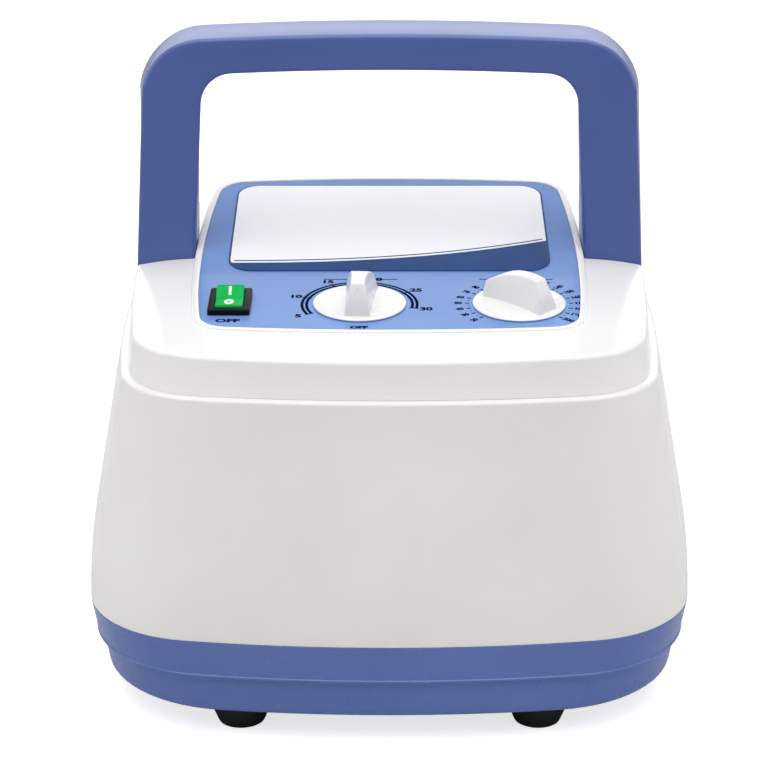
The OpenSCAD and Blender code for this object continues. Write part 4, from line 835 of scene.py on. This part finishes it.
def dialTree(name, material):
    # ticks of equal spacing round an arc, laid flat on z = 0
    tree, sockets, given = newTree(name, {"Radius": "Float", "Start": "Float", "Sweep": "Float",
        "Count": "Int", "Length": "Float", "Width": "Float", "Thickness": "Float"})
    arc = addNode(tree, "GeometryNodeCurveArc", {"Resolution": given["Count"], "Radius": given["Radius"],
        "Start Angle": given["Start"], "Sweep Angle": given["Sweep"]})
    size = addNode(tree, "ShaderNodeCombineXYZ", {0: given["Length"], 1: given["Width"],
        2: given["Thickness"]})
    tick = addNode(tree, "GeometryNodeMeshCube", {"Size": size.outputs[0]})
    place = addNode(tree, "GeometryNodeInputPosition")
    turn = addNode(tree, "FunctionNodeAlignRotationToVector", {"Vector": place.outputs[0]}, axis="X",
        pivot_axis="Z")
    points = addNode(tree, "GeometryNodeInstanceOnPoints",
        {"Points": arc.outputs["Curve"], "Instance": tick.outputs["Mesh"],
        "Rotation": turn.outputs["Rotation"]})
    madeReal(tree, points, material)
    return tree, sockets


def dialMarks(radius, start, sweep, count, length, width):
    return grownBy("marks", *ticks, {"Radius": radius * mm, "Start": radians(start),
        "Sweep": radians(sweep), "Count": count, "Length": length * mm, "Width": width * mm,
        "Thickness": printThickness * mm})


def arcBand(radius, width, start, end, steps=60):
    ts = np.radians(np.linspace(start, end, steps))
    outer = [((radius + width / 2) * cos(t), (radius + width / 2) * sin(t)) for t in ts]
    inner = [((radius - width / 2) * cos(t), (radius - width / 2) * sin(t)) for t in ts[::-1]]
    return flatShape("arcBand", outer + inner)


ticks = dialTree("dialTicks", dialInk)
timerDial = {"inner": 19.0, "outer": 20.65, "line": 1.05, "start": 206.5, "end": -10.7, "number": 24.2,
    "size": 3.9, "off": 21.0, "offSize": 2.8, "bold": 0.2}
pressureDial = {"start": 221.0, "end": -41.0, "tick": 18.6, "number": 21.9, "size": 2.7, "lowest": 20,
    "step": 10, "count": 19, "bold": 0.18}


def makeTimerPrint():
    d, at = timerDial, onPanel(controls["timerX"], controls["row"])
    sweep = d["start"] - d["end"]
    parts = [arcBand(r, d["line"], d["start"], d["end"]) for r in (d["inner"], d["outer"])]
    middle, gap = (d["inner"] + d["outer"]) / 2, d["outer"] - d["inner"]
    parts.append(dialMarks(middle, d["end"], sweep, 6, gap + 1.7, 0.7))
    for part in parts:
        placed(part, at)
    for i in range(6):
        t = radians(d["start"] - sweep * i / 5)
        spot = shift(d["number"] * cos(t), d["number"] * sin(t))
        parts.append(lettering(str(5 * (i + 1)), d["size"], at @ spot, d["bold"], 1.15))
    parts.append(lettering("OFF", d["offSize"], at @ shift(0, -d["off"]), d["bold"], 1.25))
    return dressed(joined("timerPrint", parts), dialInk, sharp=60)


def makePressurePrint():
    d, at = pressureDial, onPanel(controls["pressureX"], controls["row"])
    sweep = d["start"] - d["end"]
    parts = [placed(dialMarks(d["tick"], d["end"], sweep, d["count"], 1.6, 0.75), at),
        placed(dialMarks(d["tick"] - 0.3, d["end"], sweep, 2 * d["count"] - 1, 0.8, 0.3), at)]
    for i in range(d["count"]):
        t = d["start"] - sweep * i / (d["count"] - 1)
        turn = spun(radians(t)) @ shift(d["number"])
        flip = spun(pi) if 90 < t < 270 else Matrix.Identity(4)
        parts.append(lettering(str(d["lowest"] + d["step"] * i), d["size"], at @ turn @ flip, d["bold"], 1.0))
    return dressed(joined("pressurePrint", parts), dialInk, sharp=60)


heading = {"along": 47.6, "radius": 2.2, "line": 0.6, "hand": 1.6, "ruleFrom": 4.2, "ruleTo": 13.5,
    "off": 8.8, "offSize": 3.9}


def strip(start, end):
    half = heading["line"] / 2
    return [(start, -half), (end, -half), (end, half), (start, half)]


def makeSigns():
    # plain pictograms over the dials, a clock and a gauge, and OFF under the switch
    parts = []
    for x, start, end, hands in ((controls["timerX"], 0, 359.9, (90, 0)),
            (controls["pressureX"], -30, 210, (135,))):
        at = onPanel(x, heading["along"])
        parts.append(placed(arcBand(heading["radius"], heading["line"], start, end, 40), at))
        for turn in hands:
            hand = flatShape("hand", strip(0, heading["hand"]))
            parts.append(placed(hand, at @ spun(radians(turn))))
        for sx in (-1, 1):
            rule = strip(sx * heading["ruleFrom"], sx * heading["ruleTo"])
            parts.append(placed(flatShape("rule", rule[::sx]), at))
    parts.append(lettering("OFF", heading["offSize"], onPanel(controls["switchX"], heading["off"]),
        timerDial["bold"], 1.25))
    return dressed(joined("panelSigns", parts), dialInk, sharp=60)


makeTimerPrint()
makePressurePrint()
makeSigns()
print("panel and print made")

# ---- rocker switch ----

switch = {"width": 15.0, "length": 21.0, "height": 2.2, "corner": 1.1, "edge": 0.5, "inner": 12.8,
    "innerLength": 19.0, "depth": 21.0, "rocker": 9.8, "radius": 8.5, "pivot": -1.2, "face": 4.2,
    "tilt": radians(12), "gap": 0.3, "pin": 1.2, "low": -3.6}
acrossX = spun(pi / 2, "Y")


def atSwitch(height=0.0):
    return onPanel(controls["switchX"], controls["row"], height)


def rod(name, radius, length, steps=64):
    # a rod along x, centred
    half = length / 2
    return placed(revolve(name, [(0, -half), (radius, -half), (radius, half), (0, half)], steps), acrossX)


def makeSwitchFrame():
    s = switch
    frameTop = roundBlock("switchFrame", s["width"], s["length"], s["height"], s["corner"], s["edge"])
    case = roundBlock("case", s["inner"], s["innerLength"], s["depth"] + 0.5, 0.6)
    combined(frameTop, placed(case, shift(z=-s["depth"])), "UNION")
    drop = shift(z=s["pivot"])
    hole = rod("hole", s["radius"] + s["gap"], s["rocker"] + 2 * s["gap"])
    combined(frameTop, placed(hole, drop))
    combined(frameTop, placed(rod("hole", s["pin"] + 0.05, s["rocker"] + 1.6, 24), drop))
    return dressed(placed(frameTop, atSwitch()), switchNylon, replaces=["switch_body"])


def rockerFrame():
    return atSwitch(switch["pivot"]) @ spun(switch["tilt"], "X")


def makeRocker():
    s, slope = switch, tan(switch["tilt"])
    # where a face meets the round end
    a, b, c = 1 + slope * slope, 2 * s["face"] * slope, s["face"] ** 2 - s["radius"] ** 2
    yTop = (-b + sqrt(b * b - 4 * a * c)) / (2 * a)
    high = atan2(s["face"] + yTop * slope, yTop)
    low = atan2(s["low"], sqrt(s["radius"] ** 2 - s["low"] ** 2))
    right = [(s["radius"] * cos(t), s["radius"] * sin(t)) for t in np.linspace(low, high, 14)]
    faces = [(y, s["face"] + slope * sqrt(y * y + 0.25) - slope * 0.5)
        for y in np.linspace(yTop - 0.4, 0.4 - yTop, 17)]
    outline = right + faces + [(-y, z) for y, z in right[::-1]]
    rings = [np.array([(x, y, z) for y, z in outline]) for x in (-s["rocker"] / 2, s["rocker"] / 2)]
    rocker = bevelled(loft("rocker", rings), 0.35, 3, 40)
    combined(rocker, rod("pin", s["pin"], s["rocker"] + 1.4, 24), "UNION")
    placed(rocker, rockerFrame())
    return dressed(rocker, rockerGreen, body="rocker", replaces=["switch_rocker"])


signs = {"bar": (1.0, 4.2), "ring": (1.35, 1.75), "line": 0.75, "out": 3.5}


def makeRockerSigns():
    s = switch

    def onFace(side):
        y = side * signs["out"]
        z = s["face"] + abs(y) * tan(s["tilt"]) - tan(s["tilt"]) * 0.5 + 0.01
        return (rockerFrame() @ shift(0, y, z) @ spun(side * s["tilt"], "X"))
    w, l = signs["bar"][0] / 2, signs["bar"][1] / 2
    bar = placed(flatShape("bar", [(-w, -l), (w, -l), (w, l), (-w, l)], 0.05), onFace(1))
    ring = arcBand(1, signs["line"] / signs["ring"][0], 0, 360, 49)
    placed(ring, Matrix.Diagonal((signs["ring"][0], signs["ring"][1], 1.6, 1)))
    return dressed(joined("rockerSigns", [bar, placed(ring, onFace(-1))]), signMint, body="rocker",
        sharp=60)


makeSwitchFrame()
makeRocker()
makeRockerSigns()
print("switch made")

# ---- knobs ----

knob = {
    "radius": 16.7, "lift": 0.15, "height": 12.6, "skirt": 1.7, "gripFront": 13.9, "gripBack": 13.1,
    "front": 9.6, "back": 12.0, "crest": 5.0, "arch": 0.0185, "draft": 2.7, "slant": 4.0, "soft": 1.1,
    "bore": 3.0, "nutRoom": 6.1, "boreDepth": 9.8, "nutDepth": 1.3, "dot": 0.55,
}


def gripRing(y, top):
    # section of the grip at y: it narrows from the foot to the top, and from the back to the pointer
    k = knob
    base, reach = k["skirt"] - 1.3, k["gripFront"] + k["gripBack"]
    wide = k["front"] + (k["back"] - k["front"]) * (y + k["gripFront"]) / reach
    upper = wide / 2 - k["draft"] * (top - base) / (k["height"] - base)
    return np.array([(-wide / 2, y, base), (wide / 2, y, base), (upper, y, top), (-upper, y, top)])


def makeKnob(name, x, turn, body, node):
    k, r = knob, knob["radius"]
    skirt = revolve(name, [(0, 0), (r - 0.35, 0), (r - 0.1, 0.1), (r, 0.25), (r, 0.45), (r - 0.1, 0.6),
        (r - 0.35, 0.72), (r - 0.9, 0.82), (r * 0.72, 1.2), (r * 0.45, k["skirt"]), (0, k["skirt"])], 96)
    tip, heel = k["slant"] - k["gripFront"], k["gripBack"] - 0.6
    tops = [(y, k["height"] - k["lift"] - k["arch"] * (y + k["crest"]) ** 2)
        for y in np.linspace(tip, heel, 22)]
    rings = [gripRing(-k["gripFront"], k["skirt"] - 0.2)] + [gripRing(y, top) for y, top in tops]
    rings += [gripRing(k["gripBack"] - 0.05, k["skirt"] - 0.5)]
    grip = bevelled(loft("grip", rings), k["soft"], 5, 24)
    combined(skirt, grip, "UNION")
    bore = revolve("bore", [(0, -1), (k["nutRoom"], -1), (k["nutRoom"], k["nutDepth"]),
        (k["bore"], k["nutDepth"]), (k["bore"], k["boreDepth"]), (0, k["boreDepth"])])
    combined(skirt, bore)
    place = onPanel(x, controls["row"], k["lift"]) @ spun(turn)
    return dressed(placed(skirt, place), knobAbs, body=body, replaces=[node], sharp=38)


def makePointerDot(name, x, turn, body):
    # a small raised dot on the slanted pointer face, just under its top edge
    k = knob
    run = k["height"] - k["lift"] - k["arch"] * (k["crest"] + k["slant"] - k["gripFront"]) ** 2 - k["skirt"]
    rise = atan2(run, k["slant"])
    dot = revolve(name, [(0, 0), (k["dot"], 0), (k["dot"], 0.06), (k["dot"] * 0.7, 0.12), (0, 0.14)], 24)
    t = 0.84
    place = (onPanel(x, controls["row"], k["lift"]) @ spun(turn) @ shift(0, k["slant"] * t - k["gripFront"],
        k["skirt"] + run * t) @ spun(rise, "X"))
    return dressed(placed(dot, place), whiteAbs, body=body, sharp=60)


timerTurn, pressureTurn = radians(-3), radians(90 - 45)
makeKnob("timerKnob", controls["timerX"], timerTurn, "timer", "timer_knob")
makePointerDot("pointerDot", controls["timerX"], timerTurn, "timer")
makeKnob("pressureKnob", controls["pressureX"], pressureTurn, "pressure", "pressure_knob")
print("knobs made")

# ---- feet, screws, outlets and the inlet ----

foot = {"radius": 11.0, "flange": 1.5, "height": boxMm("rubber_feet")[1].z, "pitchX": 106.8, "pitchY": 204.0}


def makeFeet():
    r, h = foot["radius"], foot["height"]
    top = r + foot["flange"]
    profile = [(2, 4), (2, h), (top, h), (top, h - 1.4), (top - 0.2, h - 1.9), (top - 1.0, h - 2.8),
        (r - 2.4, 0.9), (r - 2.7, 0.35), (r - 3.3, 0.05), (r - 3.8, 0), (4.6, 0), (4.1, 0.15), (4, 0.5),
        (4, h - 4), (2, h - 4)]
    model = revolve("foot", profile[1:], 56)
    feet = setOut("rubberFeet", model, corners(foot["pitchX"] / 2, foot["pitchY"] / 2, 0), footRubber)
    return dressed(feet, footRubber, replaces=["rubber_feet"])


def screwModel(shank, length, head, height):
    # pan head down at z = 0 with a cross recess, shank up
    r = head / 2
    model = revolve("screw", [(0, 0), (r * 0.55, 0.04), (r * 0.85, height * 0.2), (r, height * 0.55),
        (r, height), (shank / 2, height), (shank / 2, height + length - 0.6),
        (shank / 2 - 0.6, height + length), (0, height + length)], 32)
    for turn in (0, pi / 2):
        slot = roundBlock("slot", r * 1.15, r * 0.26, height * 0.6 + 1, 0.05, steps=2)
        placed(slot, spun(turn) @ shift(z=-1))
        combined(model, slot)
    return model


screws = {
    "footScrews": {"node": "foot_screws", "shank": 3.5, "head": 6.6, "thick": 2.4, "seed": 4},
    "housingScrews": {"node": "housing_screws", "shank": 3.6, "head": 7.6, "thick": 3, "seed": 9},
    "inletScrews": {"node": "inlet_screws", "shank": 3, "head": 5.8, "thick": 1.6, "seed": 3},
}


def makeScrews():
    for name, s in screws.items():
        low, high = boxMm(s["node"])
        lying, tilt = name == "inletScrews", (0, 0, 0)
        length = high.y - low.y if lying else high.z - low.z
        model = screwModel(s["shank"], length - s["thick"], s["head"], s["thick"])
        if lying:
            tilt = (pi / 2, 0, 0)
            spots = [(bay["inletX"] + side * inlet["screwX"], high.y, bay["z"]) for side in (-1, 1)]
        elif name == "footScrews":
            spots = corners(foot["pitchX"] / 2, foot["pitchY"] / 2, low.z)
        else:
            spots = corners(high.x - s["head"] / 2, high.y - s["head"] / 2, low.z)
        group = setOut(name, model, spots, zincSteel, tilt=tilt, spread=pi, seed=s["seed"])
        dressed(group, zincSteel, replaces=[s["node"]], sharp=40)


outlet = {"flange": 7.7, "flangeThick": 1.8, "nose": 6.2, "out": 5.0, "bore": 4.0, "depth": 12.0,
    "thread": 6.0, "tail": 2.5, "tailBore": 1.3, "back": 3.0, "tailLength": 9.0}


def makeOutlets():
    flange, thick, nose, out, bore, thread, tail = (outlet[key]
        for key in ("flange", "flangeThick", "nose", "out", "bore", "thread", "tail"))
    low, high = boxMm("outlet_sockets")
    end = out - outlet["depth"]
    back, tailBore = end - outlet["back"], outlet["tailBore"]
    tailEnd = back - outlet["tailLength"]
    profile = [(bore, end), (tailBore, end), (tailBore, tailEnd), (tail, tailEnd), (tail, back),
        (thread, back), (thread, 0), (flange, 0), (flange, thick - 0.5), (flange - 0.15, thick - 0.15),
        (flange - 0.5, thick), (nose + 0.3, thick), (nose, thick + 0.3), (nose, out - 0.5),
        (nose - 0.15, out - 0.15), (nose - 0.5, out), (bore + 0.7, out), (bore + 0.2, out - 0.2),
        (bore, out - 0.8), (bore, end)]
    model = revolve("outlet", profile, 48)
    step = (high.x - low.x - 2 * flange) / 3
    spots = [(low.x + flange + i * step, bay["floorY"], bay["z"]) for i in range(4)]
    row = setOut("hoseOutlets", model, spots, fittingGrey, tilt=(-pi / 2, 0, 0))
    return dressed(row, fittingGrey, replaces=["outlet_sockets"])


def makeInlet():
    i = inlet
    plate = roundBlock("mainsInlet", i["plateW"], i["plateH"], i["plate"], 2.2, 0.5)
    back = roundBlock("back", i["width"], i["height"], i["depth"], 0.8)
    combined(plate, placed(back, shift(z=i["plate"] - i["depth"] - 0.01)), "UNION")
    for w, h, up, r in ((i["socketW"], i["socketH"], i["socketUp"], 0.9),
            (i["drawerW"], i["drawerH"], i["drawerUp"], 0.3)):
        hole = roundBlock("hole", w, h, i["socketDepth"] + 1, r)
        combined(plate, placed(hole, shift(0, -up, i["plate"] - i["socketDepth"])))
    for side in (-1, 1):
        hole = revolve("hole", [(0, -2), (1.7, -2), (1.7, 5), (0, 5)], 32)
        combined(plate, placed(hole, shift(side * i["screwX"])))
    placed(plate, atBay(bay["inletX"]))
    dressed(plate, inletNylon, replaces=["power_inlet"])
    drawer = roundBlock("fuseDrawer", i["drawerW"] - 0.4, i["drawerH"] - 0.4, i["socketDepth"], 0.5, 0.2)
    grip = roundBlock("grip", i["drawerW"] - 8, i["drawerH"] - 3, 2, 0.8, 0.4)
    combined(drawer, placed(grip, shift(z=i["socketDepth"] - 1)), "UNION")
    placed(drawer, atBay(bay["inletX"], i["plate"] - i["socketDepth"], i["drawerUp"]))
    return dressed(drawer, inletNylon, replaces=["fuse_drawer"])


makeFeet()
makeScrews()
makeOutlets()
makeInlet()
print("fittings made")

# ---- camera, floor and light ----

photo = {"lens": 101.4, "place": (0.0002, -0.811, 0.3843), "down": radians(20)}
camera = newObject("camera", bpy.data.cameras.new("camera"))
camera.location, camera.rotation_euler = photo["place"], (pi / 2 - photo["down"], 0, 0)
camera.data.lens, camera.data.sensor_width = photo["lens"], 36
camera.data.dof.use_dof = False
bpy.context.scene.camera = camera

light = {"world": 0.3, "floorTone": "#DCDCDC", "floorGlow": 0.72}


def whiteRays(tree, base):
    # the given level for light that falls on things, and plain white where it is seen
    path = addNode(tree, "ShaderNodeLightPath")
    seen = addNode(tree, "ShaderNodeMath", {0: path.outputs["Is Camera Ray"],
        1: path.outputs["Is Glossy Ray"]}, operation="MAXIMUM")
    seen = addNode(tree, "ShaderNodeMath", {0: seen.outputs[0], 1: path.outputs["Is Transmission Ray"]},
        operation="MAXIMUM")
    return addNode(tree, "ShaderNodeMapRange", {"Value": seen.outputs[0], "To Min": base}).outputs[0]


def makeWorld():
    world = bpy.data.worlds.new("studio")
    world.use_nodes = True
    bpy.context.scene.world = world
    tree = world.node_tree
    surface = tree.nodes["Background"]
    surface.inputs["Color"].default_value = (1, 1, 1, 1)
    tree.links.new(whiteRays(tree, light["world"]), surface.inputs["Strength"])


def makeFloor():
    size = 6000
    floor = fromPoints("floor", [(-size, -size, 0), (size, -size, 0), (size, size, 0), (-size, size, 0)],
        [(0, 1, 2, 3)], turned=False)
    paint = bpy.data.materials.new("paperFloor")
    paint.use_nodes = True
    tree = paint.node_tree
    surface = tree.nodes["Principled BSDF"]
    surface.inputs["Base Color"].default_value = hexColour(light["floorTone"])
    surface.inputs["Roughness"].default_value = 0.9
    surface.inputs["Specular IOR Level"].default_value = 0.1
    surface.inputs["Emission Color"].default_value = (1, 1, 1, 1)
    path = addNode(tree, "ShaderNodeLightPath")
    glow = addNode(tree, "ShaderNodeMath", {0: path.outputs["Is Camera Ray"], 1: light["floorGlow"]},
        operation="MULTIPLY")
    tree.links.new(glow.outputs[0], surface.inputs["Emission Strength"])
    floor.data.materials.append(paint)


def softbox(name, place, aim, width, height, radiance):
    # an area lamp whose face has the given radiance
    lamp = bpy.data.lights.new(name, "AREA")
    lamp.shape, lamp.size, lamp.size_y = "RECTANGLE", width, height
    lamp.energy = radiance * pi * width * height
    box = newObject(name, lamp)
    box.location = place
    box.rotation_euler = (Vector(aim) - Vector(place)).to_track_quat("-Z", "Y").to_euler()


makeWorld()
makeFloor()
softbox("overhead", (0, -0.4, 1.9), (0, -0.4, 0), 2.5, 3.2, 1.85)
softbox("leftSide", (-2.0, -0.4, 0.9), (0, 0, 0.1), 1.0, 1.4, 1.5)
softbox("rightSide", (2.0, -0.4, 0.9), (0, 0, 0.1), 1.0, 1.4, 1.5)
softbox("rearStrip", (0, 2.4, 1.02), (0, 0, 0.2), 3.0, 0.6, 0.8)
bpy.context.scene.view_settings.view_transform = "Standard"
print("stage made")
